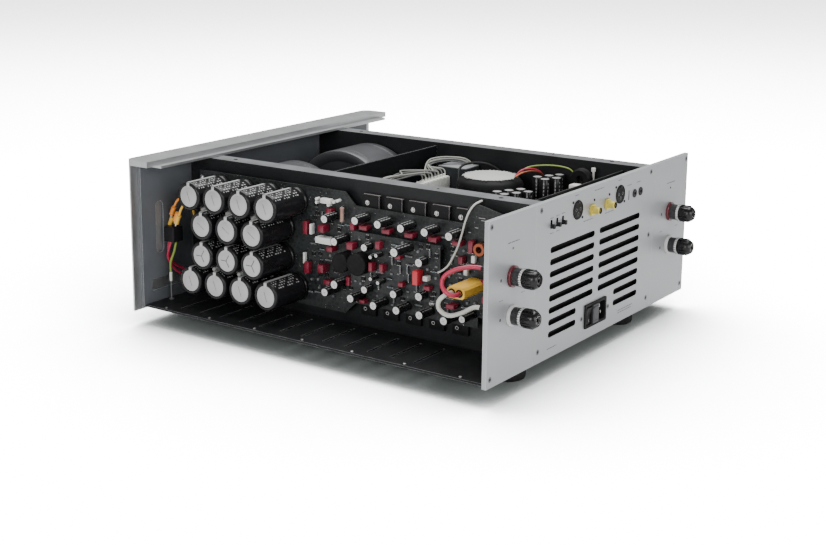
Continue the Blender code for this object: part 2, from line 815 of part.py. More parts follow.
def make_speaker_posts():
    """Four speaker terminals: a fixed base, a clamp ring and the knob that drives it."""
    base = [
        (0, 0.0220),
        (0.0028, 0.0220),
        (0.0028, 0.0110),
        (0.0092, 0.0110),
        (0.0092, 0.0030),
        (0.0108, 0.0030),
        (0.0112, 0.0026),
        (0.0112, GAP),
        (0.0058, GAP),
        (0.0058, -0.0090),
        (0.0030, -0.0090),
        (0.0030, -0.0220),
        (0, -0.0220),
    ]
    ring = [
        (0.0033, 0.0),
        (0.0033, 0.0027),
        (0.0092, 0.0027),
        (0.0098, 0.0021),
        (0.0098, 0.0006),
        (0.0092, 0.0),
        (0.0033, 0.0),
    ]
    knob = [
        (0.0021, 0.0080),
        (0.0021, 0.0161),
        (0.0052, 0.0161),
        (0.0078, 0.0150),
        (0.0097, 0.0128),
        (0.0102, 0.0105),
        (0.0102, 0.0008),
        (0.0094, 0.0),
        (0.0033, 0.0),
        (0.0033, 0.0080),
        (0.0021, 0.0080),
    ]
    ring_start = 0.0113
    knob_start = POST_LENGTH - 0.0161
    for side, sign in SIDES.items():
        for level, height in POST_HEIGHTS.items():
            name = f"{side}_{level}"
            x = sign * POST_X
            look = "red_plastic" if level == "upper" else "ivory_plastic"
            turned(f"post_base_{name}", base, (x, 0, height), "Y", look, steps=20)
            turned(f"post_ring_{name}", ring, (x, ring_start, height), "Y", "nickel", steps=20)
            turned(f"post_knob_{name}", knob, (x, knob_start, height), "Y", "black_plastic", steps=20)


def make_standby_button():
    """The push-button in the front plate, and the switch that its stem presses."""
    head = FRONT_THICKNESS - 0.0016
    turned(
        "standby_button",
        [
            (0, 0.0142),
            (0.004, 0.0142),
            (0.004, head),
            (0.0096, head),
            (0.0096, 0.0006),
            (0.0090, 0),
            (0, 0),
        ],
        (0, FRONT_Y, BUTTON_Z),
        "Y",
        "silver_aluminium",
        steps=24,
    )
    start = FRONT_Y + 0.0142 + BUTTON_TRAVEL + GAP
    block(
        "standby_switch",
        (-0.008, start, BUTTON_Z - 0.008),
        (0.008, start + 0.012, BUTTON_Z + 0.008),
        "black_plastic",
    )


def make_all():
    make_front_plate()
    make_front_subpanel()
    make_bottom_plate()
    make_walls()
    make_rear_panels()
    make_feet()
    make_boards()
    make_capacitor_banks()
    make_output_devices()
    make_speaker_wiring()
    make_transformers()
    make_supply()
    make_sockets()
    make_mode_switches()
    make_power_module()
    make_speaker_posts()
    make_standby_button()


clear_scene()
parts = collection("power_amplifier")
cutters = collection("power_amplifier_cutters")
datum = bpy.data.objects.new("chassis_datum", None)
datum.location = DATUM
parts.objects.link(datum)
make_all()
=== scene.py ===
"""Looks for the open dual-mono power amplifier: finishes, small parts, wiring, light and camera.

Lengths are in millimetres from the chassis datum, which is the middle of the rear panel's outer
face, level with the underside of the bottom plate: +X to the right-hand side, -Y to the front
plate, +Z up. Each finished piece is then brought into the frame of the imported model.
"""

import math
from functools import partial

import bmesh
import bpy
from mathutils import Matrix, Vector


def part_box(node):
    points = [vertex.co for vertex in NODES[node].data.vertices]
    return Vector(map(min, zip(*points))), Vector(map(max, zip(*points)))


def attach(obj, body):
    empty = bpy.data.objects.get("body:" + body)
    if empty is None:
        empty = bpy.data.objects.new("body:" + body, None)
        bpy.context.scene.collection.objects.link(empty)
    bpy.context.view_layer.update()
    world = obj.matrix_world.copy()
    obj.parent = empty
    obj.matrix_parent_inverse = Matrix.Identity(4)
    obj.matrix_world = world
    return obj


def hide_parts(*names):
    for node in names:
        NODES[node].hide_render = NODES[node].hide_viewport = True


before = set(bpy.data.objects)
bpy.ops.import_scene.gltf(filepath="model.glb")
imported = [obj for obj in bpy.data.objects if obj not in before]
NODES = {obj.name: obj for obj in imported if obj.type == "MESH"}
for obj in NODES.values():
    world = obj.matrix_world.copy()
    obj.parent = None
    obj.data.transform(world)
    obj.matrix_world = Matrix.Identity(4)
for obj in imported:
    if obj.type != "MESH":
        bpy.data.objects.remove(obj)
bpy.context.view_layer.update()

DATUM = Vector((0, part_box("rear_panel_centre")[1].y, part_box("bottom_plate")[0].z))
FROM_DATUM = Matrix.Translation(DATUM) @ Matrix.Scale(0.001, 4)
MIRROR = Matrix.Diagonal((-1, 1, 1, 1))


def low_side(node, axis):
    """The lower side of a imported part's box, in millimetres on the datum."""
    return (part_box(node)[0][axis] - DATUM[axis]) * 1000


def high_side(node, axis):
    """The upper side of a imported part's box, in millimetres on the datum."""
    return (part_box(node)[1][axis] - DATUM[axis]) * 1000


def centre_of(node, axis):
    return (low_side(node, axis) + high_side(node, axis)) / 2


X, Y, Z = 0, 1, 2

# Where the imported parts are.
BOARD_FACE = high_side("amplifier_board_right", X)
DRIVER_FACE = high_side("driver_board_right", X)
SUPPLY_FACE = high_side("supply_board", Z)
FRONT_FACE = low_side("front_plate", Y)
SUBPANEL_FACE = low_side("front_subpanel", Y)
CAPACITOR_TIP = high_side("capacitor_bank_right", X)
POST_X = centre_of("post_knob_right_upper", X)
POST_ZS = {level: centre_of(f"post_knob_right_{level}", Z) for level in ("upper", "lower")}
STANDBY_CENTRE = [centre_of("standby_transformer", axis) for axis in (X, Y)]
TRANSFORMER_START = low_side("mains_transformer_right", X)

# Other millimetres of the same parts, which their boxes don't give.
CAPACITOR_RADIUS = 16.8
CAPACITOR_ROWS = ((138.0, -417.8, 4), (105.3, -399.5, 3), (70.0, -399.5, 3), (37.5, -417.8, 4))
CAPACITOR_PITCH = 38.0
DEVICE_YS = [-203.6 + 30.2 * number for number in range(5)]
XLR_X, SOCKET_Z = 49.7, 150.0
RCA_X, RCA_Z = 17.7, 144.6
JACK_XS, SWITCH_Z = (-86.1, -101.2), 145.0
INLET_Z = 25.5
TRANSFORMER_RADIUS = 76.6
TRANSFORMER_Y, TRANSFORMER_Z = -383.0, 82.8
BUTTON_Z = 88.0

TOWARDS = {
    "X": Matrix.Rotation(math.pi / 2, 4, "Y"),
    "-X": Matrix.Rotation(-math.pi / 2, 4, "Y"),
    "Y": Matrix.Rotation(-math.pi / 2, 4, "X"),
    "-Y": Matrix.Rotation(math.pi / 2, 4, "X"),
    "Z": Matrix.Identity(4),
    "-Z": Matrix.Rotation(math.pi, 4, "X"),
}


# ---------------------------------------------------------------- shader groups


def new_group(name, inputs, outputs):
    """An empty shader group with the named sockets: (name, type, default) in, (name, type) out."""
    group = bpy.data.node_groups.new(name, "ShaderNodeTree")
    for socket, kind, default in inputs:
        made = group.interface.new_socket(socket, in_out="INPUT", socket_type=kind)
        made.default_value = default
    for socket, kind in outputs:
        group.interface.new_socket(socket, in_out="OUTPUT", socket_type=kind)
    return group, group.nodes.new("NodeGroupInput"), group.nodes.new("NodeGroupOutput")


def math_node(tree, operation, first, second):
    """A Math node on two values, each a socket or a number."""
    node = tree.nodes.new("ShaderNodeMath")
    node.operation = operation
    for socket, value in zip(node.inputs, (first, second)):
        if isinstance(value, (int, float)):
            socket.default_value = value
        else:
            tree.links.new(value, socket)
    return node.outputs[0]


def mix_colour(tree, factor, first, second):
    """A colour Mix, each colour a socket or three numbers."""
    node = tree.nodes.new("ShaderNodeMix")
    node.data_type = "RGBA"
    tree.links.new(factor, node.inputs["Factor"])
    for socket, value in ((node.inputs[6], first), (node.inputs[7], second)):
        if isinstance(value, tuple):
            socket.default_value = (*value, 1)
        else:
            tree.links.new(value, socket)
    return node.outputs[2]


def object_noise(tree, scale, detail=2.0, stretch=(1, 1, 1)):
    """Noise on Object coordinates; the scale is a socket or a number, per metre."""
    place = tree.nodes.new("ShaderNodeTexCoord")
    mapping = tree.nodes.new("ShaderNodeMapping")
    mapping.inputs["Scale"].default_value = stretch
    noise = tree.nodes.new("ShaderNodeTexNoise")
    noise.inputs["Detail"].default_value = detail
    tree.links.new(place.outputs["Object"], mapping.inputs["Vector"])
    tree.links.new(mapping.outputs["Vector"], noise.inputs["Vector"])
    if isinstance(scale, (int, float)):
        noise.inputs["Scale"].default_value = scale
    else:
        tree.links.new(scale, noise.inputs["Scale"])
    return noise.outputs["Fac"]


def make_grain_group():
    """Fine surface grain with a slower mottling over it."""
    group, start, end = new_group(
        "surface_grain",
        [
            ("Grain Scale", "NodeSocketFloat", 2500.0),
            ("Mottle Scale", "NodeSocketFloat", 40.0),
            ("Mottling", "NodeSocketFloat", 0.1),
        ],
        [("Height", "NodeSocketFloat"), ("Shade", "NodeSocketFloat")],
    )
    fine = object_noise(group, start.outputs["Grain Scale"], 3.0)
    slow = object_noise(group, start.outputs["Mottle Scale"], 4.0)
    centred = math_node(group, "SUBTRACT", slow, 0.5)
    swing = math_node(group, "MULTIPLY", centred, start.outputs["Mottling"])
    group.links.new(fine, end.inputs["Height"])
    group.links.new(math_node(group, "ADD", swing, 0.5), end.inputs["Shade"])
    return group


def make_edge_group():
    """A mask that is 1 on sharp outer edges, broken up by noise."""
    group, start, end = new_group(
        "edge_wear",
        [("Width", "NodeSocketFloat", 0.0006), ("Amount", "NodeSocketFloat", 6.0)],
        [("Mask", "NodeSocketFloat")],
    )
    rounded = group.nodes.new("ShaderNodeBevel")
    rounded.samples = 4
    flat = group.nodes.new("ShaderNodeNewGeometry")
    dot = group.nodes.new("ShaderNodeVectorMath")
    dot.operation = "DOT_PRODUCT"
    group.links.new(start.outputs["Width"], rounded.inputs["Radius"])
    group.links.new(rounded.outputs["Normal"], dot.inputs[0])
    group.links.new(flat.outputs["Normal"], dot.inputs[1])
    turned_away = math_node(group, "SUBTRACT", 1.0, dot.outputs["Value"])
    strong = math_node(group, "MULTIPLY", turned_away, start.outputs["Amount"])
    patches = math_node(group, "ADD", object_noise(group, 90.0), 0.35)
    mask = math_node(group, "MULTIPLY", strong, patches)
    group.links.new(math_node(group, "MINIMUM", mask, 1.0), end.inputs["Mask"])
    return group


def make_dust_group():
    """A mask for settled dust: faces that look up, in soft patches."""
    group, start, end = new_group(
        "settled_dust",
        [("Amount", "NodeSocketFloat", 0.1), ("Patch Scale", "NodeSocketFloat", 60.0)],
        [("Mask", "NodeSocketFloat")],
    )
    geometry = group.nodes.new("ShaderNodeNewGeometry")
    split = group.nodes.new("ShaderNodeSeparateXYZ")
    group.links.new(geometry.outputs["Normal"], split.inputs["Vector"])
    upward = math_node(group, "MAXIMUM", split.outputs["Z"], 0.0)
    patches = object_noise(group, start.outputs["Patch Scale"], 5.0)
    spread = math_node(group, "MULTIPLY", upward, patches)
    group.links.new(math_node(group, "MULTIPLY", spread, start.outputs["Amount"]), end.inputs["Mask"])
    return group


GRAIN, EDGES, DUST = make_grain_group(), make_edge_group(), make_dust_group()


# ---------------------------------------------------------------- finishes


def place_group(tree, group, **values):
    node = tree.nodes.new("ShaderNodeGroup")
    node.node_tree = group
    for name, value in values.items():
        node.inputs[name.replace("_", " ")].default_value = value
    return node


def scaled(colour, factor):
    return tuple(channel * factor for channel in colour)


def finish(
    name,
    colour,
    roughness,
    metallic=0.0,
    grain=2500.0,
    grain_height=0.05,
    mottle=40.0,
    mottling=0.5,
    bare=None,
    dust=0.0,
    **settings,
):
    """A Principled material with grain, mottling, and optional bare edges and dust.

    bare is the colour that shows where the edges are rubbed or cut through.
    """
    material = bpy.data.materials.new(name)
    material.use_nodes = True
    tree = material.node_tree
    shader = tree.nodes["Principled BSDF"]
    surface = place_group(tree, GRAIN, Grain_Scale=grain, Mottle_Scale=mottle, Mottling=mottling)
    base = mix_colour(tree, surface.outputs["Shade"], scaled(colour, 0.72), scaled(colour, 1.28))
    if bare:
        edge = place_group(tree, EDGES)
        base = mix_colour(tree, edge.outputs["Mask"], base, bare)
    if dust:
        settled = place_group(tree, DUST, Amount=dust)
        base = mix_colour(tree, settled.outputs["Mask"], base, (0.42, 0.41, 0.39))
    tree.links.new(base, shader.inputs["Base Color"])
    rough = math_node(tree, "MULTIPLY", surface.outputs["Shade"], 2 * roughness)
    tree.links.new(rough, shader.inputs["Roughness"])
    add_bump(tree, shader, surface.outputs["Height"], grain_height)
    shader.inputs["Metallic"].default_value = metallic
    for socket, value in settings.items():
        shader.inputs[socket.replace("_", " ")].default_value = value
    return material


def add_bump(tree, shader, height, strength, distance=0.0002):
    bump = tree.nodes.new("ShaderNodeBump")
    bump.inputs["Strength"].default_value = strength
    bump.inputs["Distance"].default_value = distance
    tree.links.new(height, bump.inputs["Height"])
    tree.links.new(bump.outputs["Normal"], shader.inputs["Normal"])


def along(tree, axis):
    """Object coordinates along one axis, in metres."""
    place = tree.nodes.new("ShaderNodeTexCoord")
    split = tree.nodes.new("ShaderNodeSeparateXYZ")
    tree.links.new(place.outputs["Object"], split.inputs["Vector"])
    return split.outputs[axis]


def facing(tree, axis):
    """How far the surface faces along an axis, from -1 to 1."""
    geometry = tree.nodes.new("ShaderNodeNewGeometry")
    split = tree.nodes.new("ShaderNodeSeparateXYZ")
    tree.links.new(geometry.outputs["Normal"], split.inputs["Vector"])
    return split.outputs[axis]


def paint_over(material, mask, colour):
    """Lays a colour over a finish where the mask is 1, and returns the shader."""
    tree = material.node_tree
    shader = tree.nodes["Principled BSDF"]
    plain = shader.inputs["Base Color"].links[0].from_socket
    tree.links.new(mix_colour(tree, mask, plain, colour), shader.inputs["Base Color"])
    return shader


def wall_finish():
    """Black anodising with the top edge milled back to bare metal."""
    material = finish(
        "wall_black", (0.006, 0.0066, 0.0075), 0.5, 0.1, dust=0.03, Specular_IOR_Level=0.3
    )
    tree = material.node_tree
    high = math_node(tree, "GREATER_THAN", along(tree, "Z"), DATUM.z + 0.1695)
    level = math_node(tree, "GREATER_THAN", facing(tree, "Z"), 0.7)
    mask = math_node(tree, "MULTIPLY", high, level)
    shader = paint_over(material, mask, (0.18, 0.185, 0.19))
    tree.links.new(math_node(tree, "MULTIPLY", mask, 0.7), shader.inputs["Metallic"])
    return material


def panel_finish():
    """Blasted aluminium; the side walls of its middle cut-outs are painted near-black, as painted shade."""
    material = finish(
        "panel_blasted", (0.37, 0.38, 0.39), 0.46, 0.55, grain=3800, grain_height=0.12,
        mottling=0.12, bare=(0.66, 0.67, 0.68),
    )
    tree = material.node_tree
    outward = math_node(tree, "ABSOLUTE", facing(tree, "Y"), 0)
    walls = math_node(tree, "LESS_THAN", outward, 0.5)
    middle = math_node(tree, "LESS_THAN", math_node(tree, "ABSOLUTE", along(tree, "X"), 0), 0.126)
    above_edge = math_node(tree, "GREATER_THAN", along(tree, "Z"), DATUM.z + 0.004)
    below_edge = math_node(tree, "LESS_THAN", along(tree, "Z"), DATUM.z + 0.168)
    inside = math_node(tree, "MULTIPLY", above_edge, below_edge)
    # Painted shade: the side walls of the cut-outs in the middle of the panel turn near-black.
    cut = math_node(tree, "MULTIPLY", math_node(tree, "MULTIPLY", walls, middle), inside)
    paint_over(material, cut, (0.006, 0.006, 0.006))
    return material


def terminal_base_finish(name, colour):
    """A coloured flange against the panel, with a black collar standing out of it."""
    material = finish(name, colour, 0.34, Coat_Weight=0.25)
    tree = material.node_tree
    collar = math_node(tree, "GREATER_THAN", along(tree, "Y"), DATUM.y + 0.0034)
    paint_over(material, collar, (0.010, 0.010, 0.011))
    return material


def board_finish():
    """Dark solder mask: faint tracks, ground fill and a few pale plated holes."""
    material = finish(
        "board_mask", (0.010, 0.0115, 0.012), 0.42, mottling=0.8, dust=0.02, Specular_IOR_Level=0.35
    )
    tree = material.node_tree
    place = tree.nodes.new("ShaderNodeTexCoord")
    tracks = tree.nodes.new("ShaderNodeTexVoronoi")
    tracks.distance = "CHEBYCHEV"
    tracks.feature = "DISTANCE_TO_EDGE"
    tracks.inputs["Scale"].default_value = 190.0
    tracks.inputs["Randomness"].default_value = 0.55
    tree.links.new(place.outputs["Object"], tracks.inputs["Vector"])
    line = math_node(tree, "LESS_THAN", tracks.outputs["Distance"], 0.09)
    paint_over(material, math_node(tree, "MULTIPLY", line, 0.5), (0.028, 0.032, 0.032))
    holes = tree.nodes.new("ShaderNodeTexVoronoi")
    holes.inputs["Scale"].default_value = 210.0
    tree.links.new(place.outputs["Object"], holes.inputs["Vector"])
    dot = math_node(tree, "LESS_THAN", holes.outputs["Distance"], 0.085)
    paint_over(material, dot, (0.26, 0.27, 0.25))
    return material


def brushed_finish(name, colour, roughness, axis):
    """Metal with fine lines along one axis."""
    material = finish(name, colour, roughness, 0.9, mottling=0.15)
    tree = material.node_tree
    shader = tree.nodes["Principled BSDF"]
    stretch = [900.0, 900.0, 900.0]
    stretch["XYZ".index(axis)] = 12.0
    lines = object_noise(tree, 1.0, 3.0, tuple(stretch))
    add_bump(tree, shader, lines, 0.12, distance=0.0001)
    return material


# Keeps black plastic, paint and anodising from greying in the soft light.
DARK = {"Specular_IOR_Level": 0.15}

LOOKS = {
    "panel": panel_finish(),
    "front": brushed_finish("front_brushed", (0.50, 0.51, 0.515), 0.38, "X"),
    "subpanel": finish("subpanel_grey", (0.10, 0.108, 0.12), 0.45, 0.15, bare=(0.55, 0.56, 0.57)),
    # Painted light: the pale grey that fills the inner front panel's slots.
    "slot_painted_light": finish("slot_painted_light", (0.20, 0.20, 0.20), 0.5, 0.2, mottling=0.2),
    "wall": wall_finish(),
    "black_sheet": finish(
        "black_sheet", (0.0055, 0.0062, 0.0072), 0.45, grain=1600, grain_height=0.2,
        bare=(0.24, 0.25, 0.26), dust=0.03, **DARK,
    ),
    "board": board_finish(),
    "sleeve": finish("sleeve_black", (0.007, 0.007, 0.008), 0.30, Coat_Weight=0.2, **DARK),
    "can": finish("can_aluminium", (0.42, 0.425, 0.42), 0.42, 0.5, grain=1500, mottling=0.3),
    # Painted shade: the dark strips that stand in for the grooves of the vent scores on can tops.
    "score_painted_shade": finish("score_painted_shade_grey", (0.10, 0.10, 0.105), 0.5, 0.4),
    "print": finish("print_grey", (0.30, 0.31, 0.30), 0.5, grain_height=0.02),
    "white_top": finish("can_white", (0.64, 0.64, 0.63), 0.42, 0.1, mottling=0.35),
    "raspberry": finish("film_raspberry", (0.17, 0.006, 0.022), 0.38, Coat_Weight=0.15),
    "red_box": finish("film_red", (0.50, 0.022, 0.035), 0.36, Coat_Weight=0.15),
    "device": finish("device_epoxy", (0.008, 0.008, 0.009), 0.5, grain=1200, grain_height=0.2, **DARK),
    "tinned": finish("tinned_metal", (0.62, 0.61, 0.59), 0.30, 1.0, mottling=0.4),
    "tab": finish("device_tab", (0.42, 0.38, 0.38), 0.38, 0.8, mottling=0.3),
    "steel": finish("screw_steel", (0.52, 0.52, 0.51), 0.30, 1.0, mottling=0.3),
    "black_screw": finish("screw_black", (0.020, 0.020, 0.022), 0.34, 0.3, **DARK),
    # Near-black: the own colour of black sockets, coils and the power module, and painted shade behind the
    # vents and windows, in screw sockets and in knurling grooves.
    "near_black_and_painted_shade": finish("black_parts_and_painted_shade", (0.006, 0.006, 0.006), 0.6, **DARK),
    "ceramic": finish("ceramic_white", (0.66, 0.67, 0.65), 0.55, grain=900, grain_height=0.2),
    "resistor": finish("resistor_brown", (0.30, 0.18, 0.14), 0.5, grain=900, mottling=0.4),
    "resistor_blue": finish("resistor_slate", (0.09, 0.12, 0.13), 0.45, mottling=0.4),
    "small_black": finish("part_black", (0.010, 0.010, 0.011), 0.45, **DARK),
    "small_grey": finish("part_grey", (0.12, 0.125, 0.13), 0.5, mottling=0.4),
    "copper": finish("winding_copper", (0.28, 0.08, 0.038), 0.35, 0.8, grain=1800, grain_height=0.4),
    "shell": finish(
        "transformer_shell", (0.040, 0.042, 0.046), 0.42, 0.2, grain=700, grain_height=0.2,
        mottling=0.3,
    ),
    "tape": finish("winding_tape", (0.005, 0.005, 0.0055), 0.6, grain=800, grain_height=0.3, **DARK),
    "paper": finish(
        "insulating_paper", (0.40, 0.40, 0.375), 0.6, grain=900, grain_height=0.3, mottling=0.3
    ),
    "relay": finish("relay_grey", (0.022, 0.025, 0.027), 0.5, **DARK),
    "relay_lid": finish("relay_lid", (0.19, 0.195, 0.20), 0.5, mottling=0.3),
    "white_plastic": finish("plastic_white", (0.66, 0.66, 0.62), 0.45),
    "ivory": terminal_base_finish("terminal_ivory", (0.50, 0.50, 0.49)),
    "insulator": finish("socket_insulator", (0.72, 0.72, 0.66), 0.4, Coat_Weight=0.2),
    "terminal_red": terminal_base_finish("terminal_red", (0.075, 0.004, 0.009)),
    "knob": finish(
        "knob_black", (0.004, 0.004, 0.0045), 0.26, grain_height=0.03, Specular_IOR_Level=0.35
    ),
    "plastic": finish(
        "plastic_black", (0.009, 0.009, 0.010), 0.42, grain=1800, grain_height=0.15, **DARK
    ),
    "grey_plastic": finish("plastic_grey", (0.028, 0.030, 0.033), 0.45, grain=1800),
    "yellow": finish("plug_yellow", (0.74, 0.43, 0.05), 0.40, mottling=0.35),
    "gold": finish("plated_gold", (0.62, 0.52, 0.10), 0.32, 0.55, mottling=0.4),
    "nickel": finish("plated_nickel", (0.60, 0.60, 0.58), 0.22, 1.0, mottling=0.2),
    "silver_ring": finish("knurled_silver", (0.58, 0.58, 0.57), 0.42, 0.3, mottling=0.3),
    "dull_screw": finish("screw_dull", (0.15, 0.155, 0.16), 0.4, 0.4),
    "rubber": finish("foot_rubber", (0.012, 0.012, 0.012), 0.75, grain=900, grain_height=0.5, **DARK),
    "red_wire": finish("wire_red", (0.36, 0.016, 0.050), 0.40, mottling=0.3),
    "harness_wire": finish("wire_harness", (0.27, 0.27, 0.24), 0.5, mottling=0.6),
    "white_wire": finish("wire_white", (0.46, 0.46, 0.42), 0.48, mottling=0.3),
    "grey_wire": finish("wire_grey", (0.12, 0.125, 0.12), 0.5, mottling=0.3),
    "black_wire": finish("wire_black", (0.010, 0.010, 0.011), 0.45, **DARK),
    "green_wire": finish("wire_green", (0.20, 0.28, 0.04), 0.45, mottling=0.3),
    "orange": finish("crimp_orange", (0.72, 0.24, 0.03), 0.42, mottling=0.3),
    "adhesive": finish("silicone_grey", (0.30, 0.30, 0.29), 0.55, grain=500, grain_height=0.4),
    "shrink": finish("shrink_tube", (0.014, 0.011, 0.012), 0.38, **DARK),
    "lens": finish("lamp_lens", (0.07, 0.08, 0.09), 0.15, grain_height=0.0, Coat_Weight=0.5),
    "mark": finish("printed_mark", (0.045, 0.047, 0.050), 0.5, grain_height=0.0),
}


# ---------------------------------------------------------------- shapes, in millimetres


def add_shape(bm, make, matrix, look, smooth):
    """Makes one closed shape in a bmesh of its own, puts it in place and adds it to bm."""
    part = bmesh.new()
    make(part)
    bmesh.ops.transform(part, verts=part.verts, matrix=matrix)
    for face in part.faces:
        face.material_index = look
        face.smooth = smooth
    mesh = bpy.data.meshes.new("shape")
    part.to_mesh(mesh)
    part.free()
    bm.from_mesh(mesh)
    bpy.data.meshes.remove(mesh)


def box(bm, low, high, look=0, radius=0.0, matrix=None):
    """A box between two corners, its edges rounded by radius."""
    low, high = Vector(low), Vector(high)

    def make(part):
        size = Matrix.Diagonal((*(high - low), 1))
        bmesh.ops.create_cube(part, size=1, matrix=Matrix.Translation((low + high) / 2) @ size)
        if radius:
            bmesh.ops.bevel(
                part,
                geom=part.edges[:],
                offset=radius,
                segments=2,
                profile=0.5,
                affect="EDGES",
                material=-1,
            )

    add_shape(bm, make, matrix or Matrix.Identity(4), look, smooth=False)


def turn(bm, profile, at, axis, look=0, steps=16):
    """A turned shape: its profile gives (radius, distance along the axis)."""

    def make(part):
        verts = [part.verts.new((radius, 0, along)) for radius, along in profile]
        edges = [part.edges.new(pair) for pair in zip(verts, verts[1:])]
        bmesh.ops.spin(
            part,
            geom=[*verts, *edges],
            cent=(0, 0, 0),
            axis=(0, 0, 1),
            angle=2 * math.pi,
            steps=steps,
            use_merge=True,
        )
        bmesh.ops.remove_doubles(part, verts=part.verts, dist=1e-5)
        bmesh.ops.recalc_face_normals(part, faces=part.faces)

    add_shape(bm, make, Matrix.Translation(at) @ TOWARDS[axis], look, smooth=True)


def tube(bm, points, radius, look=0, sides=8):
    """A round bar along straight stretches, with closed ends."""
    points = [Vector(point) for point in points]

    def make(part):
        rings = []
        for number, point in enumerate(points):
            before = points[max(number - 1, 0)]
            after = points[min(number + 1, len(points) - 1)]
            turned_to = (after - before).to_track_quat("Z", "Y").to_matrix().to_4x4()
            matrix = Matrix.Translation(point) @ turned_to
            made = bmesh.ops.create_circle(part, segments=sides, radius=radius, matrix=matrix)
            rings.append(made["verts"])
        for first, second in zip(rings, rings[1:]):
            bmesh.ops.bridge_loops(part, edges=[*ring_edges(first), *ring_edges(second)])
        part.faces.new(rings[0])
        part.faces.new(rings[-1])
        bmesh.ops.recalc_face_normals(part, faces=part.faces)

    add_shape(bm, make, Matrix.Identity(4), look, smooth=True)


def about(at, degrees, axis):
    """A place turned about an axis through it."""
    return Matrix.Translation(at) @ Matrix.Rotation(math.radians(degrees), 4, axis)


def ring_profile(inner, outer, low, high):
    """The section of a flat ring, for turn."""
    return [(inner, low), (outer, low), (outer, high), (inner, high), (inner, low)]


def disc_profile(radius, low, high):
    """The section of a solid disc, for turn."""
    return [(0, low), (radius, low), (radius, high), (0, high)]


def ring_edges(ring):
    members = set(ring)
    return {edge for vert in ring for edge in vert.link_edges if set(edge.verts) <= members}


def sharpen(mesh, angle=38):
    mesh.set_sharp_from_angle(angle=math.radians(angle))


def piece(name, build, looks, body="chassis", mirror=False):
    """A finished object: build fills its mesh in millimetres, and it rides on a body."""
    bm = bmesh.new()
    build(bm)
    if mirror:
        bmesh.ops.transform(bm, verts=bm.verts, matrix=MIRROR)
        bmesh.ops.reverse_faces(bm, faces=bm.faces)
    bmesh.ops.transform(bm, verts=bm.verts, matrix=FROM_DATUM)
    mesh = bpy.data.meshes.new(name)
    bm.to_mesh(mesh)
    bm.free()
    for look in looks:
        mesh.materials.append(LOOKS[look])
    sharpen(mesh)
    obj = bpy.data.objects.new(name, mesh)
    bpy.context.scene.collection.objects.link(obj)
    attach(obj, body)
    return obj


def both_sides(name, build, looks):
    """The same piece on the right-hand side, and mirrored on the left."""
    piece(f"{name}_right", build, looks)
    piece(f"{name}_left", build, looks, mirror=True)


def cable(name, points, radius, look, body="chassis"):
    """A round wire along a smooth curve through the points."""
    curve = bpy.data.curves.new(name, "CURVE")
    curve.dimensions = "3D"
    curve.bevel_depth = radius * 0.001
    curve.bevel_resolution = 3
    curve.use_fill_caps = True
    spline = curve.splines.new("POLY")
    route = [FROM_DATUM @ point for point in smooth_route([Vector(point) for point in points])]
    spline.points.add(len(route) - 1)
    for point, co in zip(spline.points, route):
        point.co = (*co, 1)
    curve.materials.append(LOOKS[look])
    obj = bpy.data.objects.new(name, curve)
    bpy.context.scene.collection.objects.link(obj)
    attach(obj, body)
    return obj, route


def smooth_route(points, spacing=2.5):
    """Points along a Catmull-Rom curve through the given ones."""
    ends = [points[0] * 2 - points[1], *points, points[-1] * 2 - points[-2]]
    route = []
    for before, start, end, after in zip(ends, ends[1:], ends[2:], ends[3:]):
        count = max(2, round((end - start).length / spacing))
        for step in range(count):
            t = step / count
            linear = (end - before) * t
            square = (2 * before - 5 * start + 4 * end - after) * t**2
            cube = (3 * start - before - 3 * end + after) * t**3
            route.append(0.5 * (2 * start + linear + square + cube))
    return [*route, points[-1]]


def repaint(look, *nodes):
    """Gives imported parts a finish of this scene."""
    for node in nodes:
        slots = NODES[node].material_slots
        for slot in slots:
            slot.material = LOOKS[look]


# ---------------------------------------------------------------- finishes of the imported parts


def repaint_packed_parts():
    repaint("front", "front_plate", "standby_button")
    repaint("panel", "rear_panel_left", "rear_panel_centre", "rear_panel_right")
    repaint("subpanel", "front_subpanel")
    repaint("black_sheet", "bottom_plate", "partition", "transformer_cradle")
    repaint("device", "output_devices_left", "output_devices_right")
    repaint("board", "supply_board", "input_board")
    repaint("relay", "relay_box")
    repaint("white_plastic", "supply_connector")
    repaint("plastic", "power_rocker", "trigger_jacks", "standby_switch")
    repaint("plastic", "mode_switch_1", "mode_switch_2", "mode_switch_3")
    repaint("grey_plastic", "mode_switch_housing", "fuse_drawer")
    repaint("yellow", "speaker_connector")
    repaint("near_black_and_painted_shade", "xlr_socket_left", "xlr_socket_right", "power_module")
    repaint("gold", "rca_socket_left", "rca_socket_right")
    for side in ("left", "right"):
        repaint("wall", f"inner_wall_{side}")
        repaint("board", f"amplifier_board_{side}", f"driver_board_{side}")
        for level in POST_ZS:
            base = "terminal_red" if level == "upper" else "ivory"
            repaint(base, f"post_base_{side}_{level}")
            repaint("silver_ring", f"post_ring_{side}_{level}")
            repaint("knob", f"post_knob_{side}_{level}")


# ---------------------------------------------------------------- storage capacitors


def capacitor_spots():
    return [
        (first + CAPACITOR_PITCH * number, z, row)
        for row, (z, first, count) in enumerate(CAPACITOR_ROWS)
        for number in range(count)
    ]


SLEEVE_PROFILE = [
    (0, 1.0), (15.9, 1.0), (16.5, 1.6), (16.5, 4.0), (15.5, 5.2), (15.2, 6.2), (15.5, 7.2),
    (16.6, 8.6), (16.8, 10.0), (16.8, 55.6), (16.6, 57.0), (16.0, 58.1), (15.0, 58.7),
    (13.2, 58.7), (12.5, 58.3), (12.4, 57.4), (0, 57.4), (0, 1.0),
]


